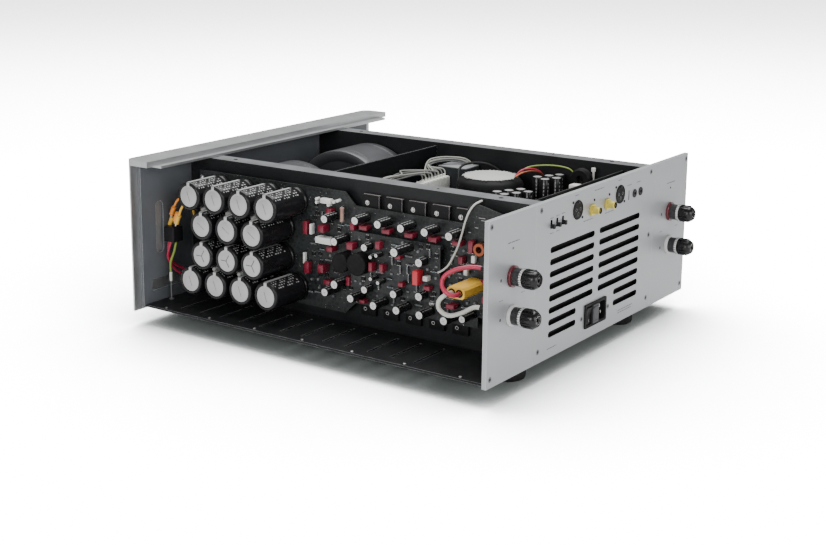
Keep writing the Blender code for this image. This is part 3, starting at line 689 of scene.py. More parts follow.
def build_capacitor(bm, y, z, row):
    """One can lying along X: sleeve, aluminium top with its vent score drawn as dark strips of painted
    shade, and the printed marks.
    """
    base = (BOARD_FACE + 0.3, y, z)
    turn(bm, SLEEVE_PROFILE, base, "X", look=0, steps=40)
    top = CAPACITOR_TIP - 0.35
    disc = [(0, -1.0), (12.4, -1.0), (12.4, -0.1), (11.6, 0.1), (11.0, -0.1), (10.4, 0.1), (0, 0.3)]
    turn(bm, disc, (top, y, z), "X", look=1, steps=40)
    arms = (90, 210, 330) if row == 2 else (20 + 35 * (row % 3),)
    reach = (0, 8.0) if row == 2 else (-6.0, 6.0)
    width = 0.42 if row == 2 else 0.2
    # Dark strips of painted shade for the vent score's grooves.
    for arm in arms:
        turned_to = about((top, y, z), arm, "X")
        box(bm, (0.1, -width, reach[0]), (0.45, width, reach[1]), look=3, matrix=turned_to)
    build_sleeve_print(bm, y, z, row)


def build_sleeve_print(bm, y, z, row):
    """The polarity stripe along a sleeve, and rows of small generic marks beside it."""
    start, end = BOARD_FACE + 13, CAPACITOR_TIP
    radius = CAPACITOR_RADIUS
    upright = Matrix.Translation((0, y, z))
    box(bm, (start, -2.1, radius - 0.4), (end - 1, 2.1, radius + 0.02), look=2, matrix=upright)
    box(bm, (end - 0.6, -2.1, 11.4), (end + 0.22, 2.1, 16.2), look=1, radius=0.2, matrix=upright)
    for line, degrees in enumerate((-18, -29, -40, -51)):
        turned_to = about((0, y, z), degrees, "X")
        for number in range(11):
            if (number * 3 + line * 5 + row) % 4 == 0:
                continue
            x = start + 1.5 + 3.9 * number
            size = 1.2 + 0.45 * ((number + line) % 4)
            low, high = (x, -0.7, radius - 0.3), (min(x + size, end - 4), 0.7, radius + 0.03)
            if high[0] > x + 0.5:
                box(bm, low, high, look=2, matrix=turned_to)


def build_capacitor_bank(bm):
    for y, z, row in capacitor_spots():
        build_capacitor(bm, y, z, row)


def build_adhesive(bm):
    """Lumps of silicone that hold neighbouring cans together."""
    for z in (121.6, 53.8):
        for number, y in enumerate((-408.0, -389.0, -370.0, -351.0, -332.0)):
            long = 9.0 + 3.0 * (number % 2)
            lump = [(0, -long), (3.2, -long + 2.5), (4.6, -2.0), (4.3, 4.0), (2.6, long - 1.5), (0, long)]
            turn(bm, lump, (185.0, y, z), "X", steps=10)


def make_capacitors():
    for side, mirror in (("right", False), ("left", True)):
        bank = piece(
            f"capacitors_{side}",
            build_capacitor_bank,
            ["sleeve", "can", "print", "score_painted_shade"],
            mirror=mirror,
        )
        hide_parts(f"capacitor_bank_{side}")
    both_sides("capacitor_adhesive", build_adhesive, ["adhesive"])


# ---------------------------------------------------------------- small parts on the boards


def add_electrolytic(bm, y, z, base, top, radius):
    """A small can on end: black sleeve, pale top with a cross score drawn as dark strips of painted shade,
    and three dashed stripes.
    """
    height = top - base
    sleeve = [
        (0, 0.3), (radius - 0.4, 0.3), (radius, 0.8), (radius, 1.6), (radius - 0.35, 2.1),
        (radius, 2.6), (radius, height - 0.5), (radius - 0.4, height), (radius - 0.8, height),
        (radius - 0.9, height - 0.5), (0, height - 0.5), (0, 0.3),
    ]
    turn(bm, sleeve, (base, y, z), "X", look=0, steps=18)
    lid = [(0, -1.0), (radius - 0.85, -1.0), (radius - 0.85, -0.1), (0, 0.12)]
    turn(bm, lid, (top, y, z), "X", look=1, steps=18)
    reach = radius * 0.75 - 0.9
    # The cross score is two dark strips of painted shade for its grooves.
    for degrees in (25, 115):
        cross = about((top, y, z), degrees, "X")
        box(bm, (0.0, -0.12, -reach), (0.16, 0.12, reach), look=3, matrix=cross)
    for degrees, width in ((0, 0.13 * radius), (-38, 0.09 * radius), (38, 0.07 * radius)):
        around = about((0, y, z), degrees, "X")
        for number in range(4):
            x = base + height * (0.18 + 0.2 * number)
            low, high = (x, -width, radius - 0.2), (x + 0.14 * height, width, radius + 0.04)
            box(bm, low, high, look=2, matrix=around)


def add_film_box(bm, y, z, base, size, look):
    """A moulded box capacitor on two legs; size is (along X, Y, Z)."""
    deep, wide, high = size
    low = (base + 0.6, y - wide / 2, z - high / 2)
    box(bm, low, (base + deep, y + wide / 2, z + high / 2), look=look, radius=0.45)
    for sign in (-1, 1):
        leg = z + sign * high * 0.3
        box(bm, (base, y - 0.25, leg - 0.25), (base + 0.8, y + 0.25, leg + 0.25), look=3)


def add_resistor(bm, at, length, radius, along, look):
    """A leaded resistor lying on the board, with swollen ends and its wires turned down."""
    half = length / 2
    body = [
        (0, -half), (radius * 0.9, -half), (radius, -half + 0.5), (radius, -half + 1.4),
        (radius * 0.86, -half + 1.9), (radius * 0.86, half - 1.9), (radius, half - 1.4),
        (radius, half - 0.5), (radius * 0.9, half), (0, half),
    ]
    x, y, z = at
    height = x + radius + 0.5
    turn(bm, body, (height, y, z), along, look=look, steps=12)
    step = Vector((0, 1, 0)) if along == "Y" else Vector((0, 0, 1))
    middle = Vector((height, y, z))
    for sign in (-1, 1):
        near, far = middle + step * sign * half, middle + step * sign * (half + 1.6)
        foot = Vector((x, far.y, far.z))
        tube(bm, [near, far, foot], 0.3, look=3, sides=6)


def add_chip(bm, y, z, base, wide, high):
    """A small moulded circuit with its rows of legs."""
    low, top = (base + 0.3, y - wide / 2, z - high / 2), (base + 1.7, y + wide / 2, z + high / 2)
    box(bm, low, top, look=0, radius=0.15)
    count = max(2, int(wide / 1.3))
    for number in range(count):
        leg = y - wide / 2 + wide * (number + 0.5) / count
        for sign in (-1, 1):
            edge = z + sign * high / 2
            near, far = sorted((edge, edge + sign * 1.1))
            box(bm, (base, leg - 0.2, near), (base + 0.5, leg + 0.2, far), look=3)


def add_screw(bm, at, axis, radius, look=0, height=None, ring=None):
    """A socket-head screw, on a washer if ring gives its look."""
    height = height or radius * 0.7
    head = [
        (0, 0), (radius, 0), (radius, height * 0.75), (radius * 0.8, height), (radius * 0.45, height),
        (radius * 0.4, height * 0.35), (0, height * 0.35), (0, 0),
    ]
    turn(bm, head, at, axis, look=look, steps=14)
    if ring is not None:
        washer = ring_profile(radius * 0.5, radius * 1.45, -0.1, 0.35)
        turn(bm, washer, at, axis, look=ring, steps=16)


# (Y, Z, standing on the driver board, top's distance, radius)
ELECTROLYTICS = [
    *((y - 2.0, 132.0, False, 170.0, 5.0) for y in DEVICE_YS),
    (-247.5, 128.1, False, 170.0, 5.0),
    (-234.0, 104.4, False, 170.0, 5.0),
    (-233.9, 55.5, False, 170.0, 5.2),
    (-247.3, 44.5, False, 170.0, 5.0),
    (-211.6, 43.4, False, 170.0, 5.0),
    (-193.1, 103.8, True, 170.0, 4.6),
    (-184.6, 94.5, True, 170.0, 2.8),
    (-178.6, 96.7, True, 168.0, 2.8),
    (-184.4, 70.1, True, 170.0, 2.8),
    (-174.6, 67.3, True, 170.0, 2.8),
    (-192.8, 56.5, True, 170.0, 4.6),
    (-154.3, 58.0, True, 170.0, 4.8),
    (-121.8, 98.0, True, 170.0, 5.0),
    (-121.4, 61.0, True, 170.0, 5.0),
    (-120.5, 40.6, False, 170.0, 5.0),
    (-89.6, 40.0, False, 170.0, 5.0),
    (-67.0, 45.9, False, 170.0, 4.4),
    (-180.7, 40.6, False, 170.0, 5.0),
    (-150.3, 40.6, False, 170.0, 5.0),
]

# (Y, Z, standing on the driver board, (depth, width, height))
FILM_BOXES = [
    *((y - 0.5, 121.8, False, (11.0, 10.5, 5.0)) for y in DEVICE_YS),
    (-288.0, 109.5, False, (7.0, 6.0, 15.0)),
    (-285.5, 63.5, False, (8.0, 6.5, 13.0)),
    (-261.6, 112.6, False, (12.0, 8.0, 8.0)),
    (-262.5, 66.4, False, (12.0, 8.0, 9.0)),
    (-254.4, 51.6, False, (11.0, 9.0, 5.0)),
    (-253.0, 133.5, False, (9.0, 7.0, 5.0)),
    (-219.0, 121.0, False, (11.0, 5.5, 8.0)),
    (-249.6, 90.9, False, (12.0, 8.0, 5.5)),
    (-224.8, 58.0, False, (11.0, 5.0, 10.0)),
    (-214.5, 101.5, True, (10.0, 8.0, 7.5)),
    (-177.8, 107.7, True, (9.0, 6.0, 8.0)),
    (-186.5, 82.6, True, (10.0, 4.5, 10.0)),
    (-172.9, 83.0, True, (9.0, 4.5, 9.0)),
    (-147.3, 69.0, True, (9.0, 6.0, 4.5)),
    (-114.5, 70.2, True, (8.0, 8.0, 4.5)),
    (-152.0, 98.5, True, (8.0, 7.0, 4.5)),
    (-88.9, 52.7, False, (13.0, 9.5, 5.0)),
    (-206.0, 37.5, False, (10.0, 7.0, 4.0)),
    (-160.0, 36.5, False, (10.0, 7.0, 4.0)),
    (-79.5, 104.0, False, (9.0, 5.0, 8.0)),
    (-67.0, 117.5, False, (10.0, 5.0, 7.0)),
]


def base_of(on_driver):
    return DRIVER_FACE if on_driver else BOARD_FACE


def build_electrolytics(bm):
    for y, z, on_driver, top, radius in ELECTROLYTICS:
        add_electrolytic(bm, y, z, base_of(on_driver), top, radius)
    add_electrolytic(bm, -141.0, 110.0, DRIVER_FACE, 188.0, 5.3)


def build_film_capacitors(bm):
    for y, z, on_driver, size in FILM_BOXES:
        add_film_box(bm, y, z, base_of(on_driver), size, look=0)
    add_film_box(bm, -279.6, 109.0, BOARD_FACE, (7.5, 3.0, 12.0), look=2)
    add_film_box(bm, -291.0, 73.5, BOARD_FACE, (5.5, 2.4, 13.0), look=2)
    add_film_box(bm, -126.2, 80.6, DRIVER_FACE, (12.5, 6.5, 15.5), look=1)


# (Y, Z, base, top, radius)
COILS = ((-228.0, 80.5, 146.3, 168.0, 11.0), (-203.5, 83.0, 157.8, 171.0, 12.5))


def build_power_resistors(bm):
    """The ceramic block, the pale terminal strip, the coated resistor and the black coils."""
    box(bm, (148.0, -269.0, 96.0), (158.5, -246.5, 103.2), look=0, radius=0.5)
    box(bm, (BOARD_FACE, -266.0, 141.0), (153.0, -252.0, 146.5), look=0, radius=0.5)
    for y, z in ((-272.5, 144.5), (-272.5, 140.6), (-256.0, 139.4), (-248.5, 144.0), (-243.0, 146.0)):
        turn(bm, disc_profile(1.8, 0, 5.5), (BOARD_FACE, y, z), "X", look=0, steps=12)
    add_resistor(bm, (150.0, -235.2, 132.0), 16.0, 2.6, "Z", look=1)
    for y, z, base, top, radius in COILS:
        build_coil(bm, y, z, base, top, radius)


def build_coil(bm, y, z, base, top, radius):
    """A black potted coil on end, with a dished top."""
    height = top - base
    profile = [
        (0, 0), (radius, 0), (radius, height - 1.0), (radius - 0.8, height),
        (radius * 0.5, height), (radius * 0.4, height - 0.4), (0, height - 0.4), (0, 0),
    ]
    turn(bm, profile, (base, y, z), "X", look=2, steps=28)


def taken_spots():
    """(Y, Z, radius) that the larger parts cover on the two boards."""
    spots = [(y, z, radius + 1.5) for y, z, _, _, radius in ELECTROLYTICS]
    spots += [(y, z, max(size[1:]) / 2 + 1.5) for y, z, _, size in FILM_BOXES]
    spots += [(y, z, radius + 1.5) for y, z, _, _, radius in COILS]
    spots += [(-126.2, 80.6, 9.5), (-141.0, 110.0, 7.0), (-279.6, 109.0, 7.0), (-291.0, 73.5, 7.0)]
    spots += [(-258.0, 99.5, 12.0), (-259.0, 143.0, 14.0), (-235.2, 132.0, 10.0), (-62.0, 80.0, 13.0)]
    return spots


SCATTER_TRIES = 520
SCATTER_START, SCATTER_SIZE = (-284.0, 34.0), (219.0, 104.0)
SCATTER_STEP = (61.803, 37.719)  # each has no simple ratio to its size, so the places spread


def small_part_spots():
    """A fixed scatter of free places: (Y, Z, on the driver board, kind)."""
    taken = taken_spots()
    chosen = []
    for number in range(SCATTER_TRIES):
        y, z = (
            start + (number * step) % size
            for start, step, size in zip(SCATTER_START, SCATTER_STEP, SCATTER_SIZE)
        )
        on_driver = -216.0 < y < -106.0 and 56.0 < z < 114.0
        edge_zone = -222.0 < y < -100.0 and 50.0 < z < 120.0
        if (edge_zone and not on_driver) or (y > -236.0 and z > 126.0):
            continue
        if all(math.hypot(y - a, z - b) > reach + 2.2 for a, b, reach in taken):
            taken.append((y, z, 2.6))
            chosen.append((y, z, on_driver, number % 7))
    return chosen


def build_small_parts(bm):
    for y, z, on_driver, kind in small_part_spots():
        base = base_of(on_driver)
        if kind in (0, 3):
            add_resistor(bm, (base, y, z), 6.0, 1.15, "Z" if kind else "Y", look=2)
        elif kind in (1, 5):
            add_chip(bm, y, z, base, 4.6, 3.6)
        elif kind == 2:
            add_resistor(bm, (base, y, z), 4.2, 1.0, "Y", look=1)
        elif kind == 4:
            turn(bm, [(0, 2.4), (1.5, 2.2), (1.7, 0), (0, 0)], (base, y, z), "X", look=4, steps=10)
        else:
            box(bm, (base, y - 1.6, z - 0.9), (base + 1.1, y + 1.6, z + 0.9), look=4, radius=0.2)


def build_trimmer(bm):
    box(bm, (DRIVER_FACE, -119.2, 77.8), (165.5, -114.0, 83.0), look=0, radius=0.3)
    add_screw(bm, (165.4, -116.6, 80.4), "X", 1.3, look=1, height=0.6)


def make_board_parts():
    both_sides("small_electrolytics", build_electrolytics, ["sleeve", "white_top", "print", "score_painted_shade"])
    both_sides("film_capacitors", build_film_capacitors, ["raspberry", "red_box", "ceramic", "tinned"])
    both_sides("power_resistors", build_power_resistors, ["ceramic", "resistor", "near_black_and_painted_shade", "tinned"])
    looks = ["small_black", "resistor_blue", "small_grey", "tinned", "small_grey"]
    both_sides("small_parts", build_small_parts, looks)
    both_sides("trimmers", build_trimmer, ["white_plastic", "steel"])


# ---------------------------------------------------------------- output devices


def build_device_hardware(bm):
    """Tabs, screws and legs of both rows of output devices, and the lower row itself."""
    for y in DEVICE_YS:
        box(bm, (137.9, y - 11.0, 155.6), (140.6, y + 11.0, 156.3), look=0, radius=0.15)
        box(bm, (141.6, y + 10.9, 133.5), (142.9, y + 11.3, 155.6), look=0)
        add_screw(bm, (142.9, y - 4.2, 147.2), "X", 1.9, look=1, height=2.0, ring=1)
        for offset in (-5.4, 0.0, 5.4):
            route = [(140.0, y + offset, 132.8), (140.0, y + offset, 128.0), (144.4, y + offset, 126.0)]
            tube(bm, route, 0.55, look=1, sides=6)
        box(bm, (137.6, y - 14.0, 18.0), (141.0, y + 6.0, 38.0), look=2, radius=0.4)
        turn(bm, ring_profile(1.3, 2.2, 0, 0.4), (141.0, y - 8.0, 25.2), "X", look=1, steps=18)


def make_device_hardware():
    both_sides("device_hardware", build_device_hardware, ["tab", "steel", "device"])


# ---------------------------------------------------------------- wiring on the right-hand side

RED_LEAD = [
    (183.5, -23.2, 106.5), (185.0, -40.0, 109.5), (192.0, -58.0, 106.5), (198.0, -70.5, 98.5),
    (201.5, -71.5, 89.5), (202.5, -65.5, 82.5), (198.5, -58.2, 80.0), (191.4, -57.5, 80.0),
]
WHITE_LEAD = [
    (183.5, -23.2, 66.0), (187.0, -40.0, 68.0), (193.0, -52.0, 61.5), (197.0, -65.5, 57.0),
    (200.5, -74.5, 62.5), (202.5, -74.5, 72.0), (199.0, -68.0, 79.6), (191.4, -66.5, 80.0),
]
SENSE_WIRE = [
    (137.6, -65.5, 166.2), (143.0, -62.5, 167.8), (150.0, -66.2, 164.7), (153.0, -71.0, 156.5),
    (155.0, -74.5, 145.0), (157.0, -77.5, 130.5), (160.0, -80.5, 117.5), (162.5, -88.5, 100.0),
    (161.0, -98.0, 91.5), (158.4, -104.5, 88.0),
]


def make_lead(name, points, radius, look, replaced=None):
    """A hook-up wire between its two ends, along a smooth curve through the points; the imported part it
    replaces is hidden.
    """
    lead, route = cable(name, points, radius, look)
    if replaced:
        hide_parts(replaced)


def build_shrink_sleeves(bm):
    for lead in (RED_LEAD, WHITE_LEAD):
        route = smooth_route([Vector(point) for point in lead])
        tube(bm, route[:6], 3.0, look=0, sides=14)


def build_plug_face(bm):
    """The two round wire entries on the plug's outer end."""
    for y in (-66.5, -57.5):
        turn(bm, ring_profile(2.6, 4.3, 0.0, 0.5), (190.4, y, 80.0), "X", look=0, steps=18)


def make_side_wiring():
    make_lead("speaker_wire_red", RED_LEAD, 2.4, "red_wire", "speaker_lead_red")
    make_lead("speaker_wire_white", WHITE_LEAD, 2.4, "white_wire", "speaker_lead_white")
    make_lead("sense_wire", SENSE_WIRE, 1.1, "white_wire")
    piece("shrink_sleeves", build_shrink_sleeves, ["shrink"])
    piece("plug_face", build_plug_face, ["small_black"])


# ---------------------------------------------------------------- side boards and front bay


def sheet(bm, outline, start, thickness, look=0):
    """A flat board across X from its (Y, Z) outline."""

    def make(part):
        verts = [part.verts.new((start, y, z)) for y, z in outline]
        face = part.faces.new(verts)
        grown = bmesh.ops.extrude_face_region(part, geom=[face])["geom"]
        moved = [item for item in grown if isinstance(item, bmesh.types.BMVert)]
        bmesh.ops.translate(part, verts=moved, vec=(thickness, 0, 0))
        bmesh.ops.recalc_face_normals(part, faces=part.faces)

    add_shape(bm, make, Matrix.Identity(4), look, smooth=False)


SENSE_BOARD_OUTLINE = [
    (-76.0, 116.0), (-76.0, 157.0), (-74.5, 161.5), (-71.0, 164.4), (-65.0, 165.2), (-50.0, 162.0),
    (-36.0, 158.6), (-12.0, 154.0), (-12.0, 44.0), (-60.5, 44.0), (-60.5, 116.0),
]
SENSE_BOARD_X = 146.6


def build_sense_board(bm):
    """The small board behind each amplifier board, with its coil and what stands round it."""
    sheet(bm, SENSE_BOARD_OUTLINE, SENSE_BOARD_X, 1.6, look=0)
    face = SENSE_BOARD_X + 1.6
    prints = ((-58.0, 151.0, 8.0), (-56.5, 148.6, 5.0), (-64.5, 140.0, 4.0), (-72.5, 134.0, 3.0))
    for y, z, long in prints:
        box(bm, (face - 0.05, y - long / 2, z - 0.35), (face + 0.05, y + long / 2, z + 0.35), look=1)
    add_film_box(bm, -66.9, 122.3, face, (8.0, 5.5, 9.0), look=2)
    coil = [
        (3.6, 0.2), (6.6, 0.2), (7.2, 2.0), (7.2, 6.5), (6.6, 8.0), (3.6, 8.0), (3.0, 6.5), (3.0, 2.0),
        (3.6, 0.2),
    ]
    turn(bm, coil, (face, -56.6, 119.0), "X", look=4, steps=28)
    for y, z in ((-52.0, 84.0), (-44.0, 96.0), (-36.0, 70.0), (-50.0, 66.0), (-28.0, 110.0)):
        add_film_box(bm, y, z, face, (7.0, 5.0, 7.0), look=2)
    for y, z in ((-40.0, 130.0), (-26.0, 138.0), (-24.0, 84.0), (-44.0, 54.0)):
        can = [(0, 9.0), (3.4, 9.0), (3.6, 8.6), (3.6, 0.2), (0, 0.2)]
        turn(bm, can, (face, y, z), "X", look=5, steps=18)


def build_heat_clips(bm):
    """Pale moulded clips along the rear end of each amplifier board."""
    for y, z in ((-79.5, 103.5), (-66.0, 106.5), (-75.0, 92.0)):
        box(bm, (BOARD_FACE + 0.3, y - 2.2, z - 4.0), (BOARD_FACE + 6.0, y + 2.2, z + 4.0), radius=0.7)


def build_board_screws(bm):
    for y, z in ((-449.5, 147.5), (-325.6, 147.5), (-119.7, 48.4), (-68.0, 133.0), (-449.5, 30.0)):
        add_screw(bm, (BOARD_FACE + 0.2, y, z), "X", 2.3, look=0, height=1.4, ring=0)


def build_floor_screws(bm):
    """Screws along the outer edges of the bottom plate."""
    for number in range(7):
        add_screw(bm, (217.0, -446.0 + 68.0 * number, 2.4), "Z", 1.9, look=0, height=0.9)


def build_front_terminals(bm):
    """The terminal block of the front bay, with crimped tags on it."""
    box(bm, (177.0, -470.6, 75.0), (193.0, -454.0, 93.0), look=0, radius=1.0)
    box(bm, (180.0, -472.6, 79.0), (190.0, -470.4, 89.0), look=0)
    for x, y, z, look in (
        (182.0, -465.0, 111.0, 1), (188.0, -454.0, 106.0, 1),
        (181.0, -469.0, 98.0, 2), (188.0, -452.0, 103.0, 2),
    ):
        tube(bm, [(x, y - 2.0, z - 5.0), (x, y, z), (x, y + 2.5, z + 5.0)], 3.0, look=look, sides=14)
        tube(bm, [(x, y - 3.0, z - 8.0), (x, y - 2.0, z - 5.0)], 1.4, look=3, sides=8)


# (name, radius, look, route)
FRONT_WIRES = (
    (
        "front_wire_orange", 1.6, "orange",
        [
            (182.0, -462.5, 116.0), (181.0, -458.0, 124.0), (172.0, -455.0, 128.0),
            (160.0, -456.0, 122.0), (150.0, -458.0, 108.0),
        ],
    ),
    (
        "front_wire_amber", 1.6, "yellow",
        [
            (188.0, -449.5, 108.0), (187.0, -446.0, 117.0), (178.0, -446.5, 122.0),
            (165.0, -450.0, 116.0), (154.0, -456.0, 100.0),
        ],
    ),
    (
        "front_wire_red", 1.5, "red_wire",
        [
            (183.0, -468.0, 79.0), (185.0, -471.0, 68.0), (184.0, -471.2, 58.0),
            (176.0, -470.0, 44.0), (160.0, -468.0, 34.0),
        ],
    ),
    (
        "front_wire_red_second", 1.5, "red_wire",
        [
            (187.0, -463.0, 76.0), (189.0, -466.0, 66.0), (187.5, -469.5, 54.0),
            (178.0, -468.0, 38.0), (162.0, -466.0, 27.0),
        ],
    ),
    (
        "front_wire_earth", 1.5, "green_wire",
        [(181.0, -461.0, 76.0), (183.5, -463.0, 62.0), (186.0, -467.0, 48.0), (185.0, -468.0, 34.0)],
    ),
)


def build_slot_painted_light(bm):
    """A pale strip that closes the lengthwise slot of the inner front panel, on each side: painted light
    standing in for the light seen in the slot.
    """
    for sign in (-1, 1):
        low, high = sorted((sign * 188.0, sign * 199.5))
        box(bm, (low, SUBPANEL_FACE + 0.3, 62.0), (high, SUBPANEL_FACE + 1.3, 122.5), radius=0.3)


def build_window_shade_and_earth_post(bm):
    """A near-black sheet behind the low windows of the inner front panel, painted shade seen through them,
    and the earth wire's tag and post.
    """
    # Painted shade: a near-black sheet behind each low window.
    for sign in (-1, 1):
        low, high = sorted((sign * 152.6, sign * 208.4))
        box(bm, (low, SUBPANEL_FACE - 2.6, 17.5), (high, SUBPANEL_FACE - 1.6, 29.5), look=0)
    x, y = 185.0, -468.0
    tube(bm, [(x, y, 36.0), (x, y, 25.0)], 1.9, look=1, sides=12)
    post = [(0, 0), (3.4, 0), (3.4, 0.8), (0.9, 0.8), (0.9, 23.0), (0, 23.0), (0, 0)]
    turn(bm, post, (x, y, 2.6), "Z", look=2, steps=14)


def make_side_boards():
    looks = ["board", "print", "raspberry", "tinned", "copper", "small_black"]
    both_sides("sense_board", build_sense_board, looks)
    both_sides("heat_clips", build_heat_clips, ["ceramic"])
    both_sides("board_screws", build_board_screws, ["steel"])
    both_sides("floor_screws", build_floor_screws, ["steel"])


def make_front_bay():
    piece("front_terminals", build_front_terminals, ["small_black", "orange", "yellow", "tinned"])
    piece("window_shade_and_earth_post", build_window_shade_and_earth_post, ["near_black_and_painted_shade", "insulator", "dull_screw"])
    piece("slot_painted_light_strips", build_slot_painted_light, ["slot_painted_light"])
    for name, radius, look, points in FRONT_WIRES:
        make_lead(name, points, radius, look)


# ---------------------------------------------------------------- transformers and supply


def build_toroid(bm):
    """A ring transformer on edge: a steel shell with rolled rims, and a washer and nut at each end."""
    depth, radius = 73.3, TRANSFORMER_RADIUS
    shell = [
        (16.0, 4.0), (62.0, 4.0), (64.0, 2.4), (66.0, 0.6), (70.0, 0.0), (radius - 3.0, 0.2),
        (radius - 0.9, 1.2), (radius, 3.4), (radius, 12.0), (radius - 0.5, 12.6), (radius - 0.5, 13.6),
        (radius, 14.2), (radius, depth - 14.2), (radius - 0.5, depth - 13.6),
        (radius - 0.5, depth - 12.6),
        (radius, depth - 12.0), (radius, depth - 3.4), (radius - 0.9, depth - 1.2),
        (radius - 3.0, depth - 0.2), (70.0, depth), (66.0, depth - 0.6), (64.0, depth - 2.4),
        (62.0, depth - 4.0), (16.0, depth - 4.0), (16.0, 4.0),
    ]
    start = (TRANSFORMER_START, TRANSFORMER_Y, TRANSFORMER_Z)
    turn(bm, shell, start, "X", look=0, steps=96)
    for face, step in ((3.6, -1.0), (depth - 3.6, 1.0)):
        dished = face + 2.4 * step
        washer = [(0, face), (30.0, face), (30.0, face + step), (12.0, dished), (0, dished), (0, face)]
        turn(bm, washer, start, "X", look=1, steps=48)
        nut = disc_profile(7.0, face + 2.3 * step, face + 3.4 * step)
        turn(bm, nut, start, "X", look=1, steps=6)


def make_transformers():
    for side, mirror in (("right", False), ("left", True)):
        toroid = piece(
            f"toroid_{side}", build_toroid, ["shell", "steel"], mirror=mirror
        )
        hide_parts(f"mains_transformer_{side}")


def build_standby_winding(bm):
    """The flat ring transformer: taped body, pale paper disc with a frayed edge, and tape ends."""
    x, y = STANDBY_CENTRE
    base = SUPPLY_FACE + 0.3
    body = [
        (0, 0.0), (35.0, 0.0), (38.6, 1.6), (40.0, 5.0), (40.0, 35.0), (39.0, 39.0), (36.4, 42.0),
        (32.4, 44.4), (31.5, 45.4), (0, 45.4), (0, 0.0),
    ]
    turn(bm, body, (x, y, base), "Z", look=0, steps=64)
    disc = [(0, 45.3), (30.4, 45.3), (30.8, 45.8), (30.2, 46.1), (0, 46.15)]
    turn(bm, disc, (x, y, base), "Z", look=1, steps=64)
    for number in range(46):
        turned_to = about((x, y, base), 360 * number / 46, "Z")
        reach = 31.6 + 0.7 * ((number * 5) % 4)
        box(bm, (29.5, -0.9, 45.4), (reach, 0.8, 45.95), look=1, matrix=turned_to)
    for number in range(30):
        turned_to = about((x, y, base), 360 * number / 30, "Z")
        box(bm, (38.6, -3.2, 3.0), (40.0, 3.2, 36.5), look=0, radius=0.5, matrix=turned_to)


def supply_can_spots():
    """(X, Y, top) of the supply capacitors."""
    low = (
        (-12.0, -136.0), (-26.0, -128.5), (-40.0, -121.0), (-4.5, -122.0), (-18.5, -114.5), (-32.5, -107.0),
    )
    tall = ((-76.0, -119.5), (-90.0, -112.0), (-68.5, -105.5), (-82.5, -98.0), (-102.5, -105.0))
    return [(*spot, 143.0) for spot in low] + [(*spot, 152.0) for spot in tall]


def build_supply_cans(bm):
    """The supply capacitors, with pale tops and printed stripes, on their insulating sheet."""
    base = SUPPLY_FACE + 0.3
    box(bm, (-109.6, -136.8, base), (2.0, -91.6, base + 1.0), look=0)
    for x, y, top in supply_can_spots():
        high = top - base
        sleeve = [
            (0, 0.5), (6.0, 0.5), (6.3, 1.0), (6.3, 2.4), (5.9, 3.0), (6.3, 3.6), (6.3, high - 0.8),
            (5.9, high - 0.2), (5.2, high - 0.1), (5.1, high - 0.6), (0, high - 0.6), (0, 0.5),
        ]
        turn(bm, sleeve, (x, y, base), "Z", look=0, steps=22)
        lid = [
            (0, high - 1.0), (5.15, high - 1.0), (5.15, high - 0.3), (4.6, high - 0.1), (0, high - 0.1),
        ]
        turn(bm, lid, (x, y, base), "Z", look=1, steps=22)
        for degrees, width in ((18, 0.7), (66, 0.35)):
            turned_to = about((x, y, base), degrees, "Z")
            for number in range(9):
                z = high - 4.0 - 4.2 * number
                box(bm, (6.0, -width, z - 2.6), (6.32, width, z), look=2, matrix=turned_to)


def build_supply_fittings(bm):
    """Connector pins, relay lid, choke, pillar and the small parts near the sockets."""
    for number in range(8):
        x = PIN_X + PIN_PITCH * number
        box(bm, (x - 2.5, -254.2, 136.9), (x + 2.5, -243.8, 137.9), look=0, radius=0.3)
        box(bm, (x + 2.9, -255.2, 122.0), (x + 3.9, -242.8, 138.2), look=0)
        tube(bm, [(x, -249.0, 137.8), (x, -249.0, 140.4)], 1.5, look=1, sides=10)
    box(bm, (-111.4, -262.4, 147.1), (-80.6, -222.1, 148.6), look=2, radius=0.5)
    choke = [
        (5.0, 0.0), (11.0, 0.0), (13.0, 2.0), (13.0, 8.0), (11.0, 10.0), (5.0, 10.0), (3.6, 8.0),
        (3.6, 2.0), (5.0, 0.0),
    ]
    turn(bm, choke, (-96.0, -70.0, 152.0), "X", look=3, steps=40)
    box(bm, (-97.0, -76.0, 102.4), (-85.0, -64.0, 140.0), look=3, radius=0.6)
    pillar = [
        (0, 0), (3.4, 0), (3.4, 3.0), (1.5, 3.0), (1.5, 58.0), (2.6, 58.0), (2.6, 62.0), (0, 62.0), (0, 0),
    ]
    turn(bm, pillar, (-103.0, -61.0, 102.4), "Z", look=1, steps=16)
    box(bm, (-80.0, -74.0, 102.4), (-68.0, -62.0, 149.0), look=1, radius=0.8)
    for x in (-58.0, -46.0, -34.0):
        box(bm, (x - 4.0, -73.0, 102.4), (x + 4.0, -63.0, 143.0), look=5, radius=0.6)


# The supply connector's terminals: the first one's X, their pitch, and the wires' Y and Z there.
PIN_X, PIN_PITCH, PIN_Y, PIN_Z = -74.6, 6.8, -249.0, 140.2
HARNESS_RADIUS = 0.85


def strand_over_relay(number):
    """A wire out of the connector, over the relay and down behind it, in two loose layers."""
    side, up = 2.3 * (number % 3 - 1), 2.1 * (number // 3)
    start, end = PIN_X - 2.4 + PIN_PITCH * number, -109.5 + side / 2
    return [
        (start, PIN_Y, PIN_Z), (start - 1.0, -253.5, 145.5), (-64.0 + side, -265.0 - up, 149.0 + up),
        (-80.0, -266.0 + side, 152.5 + up), (-97.0, -253.0 + side, 153.0 + up),
        (-107.0 + side, -236.0, 149.0 + up), (end, -218.0 - up, 134.0), (end, -213.0 - up, 112.0),
    ]


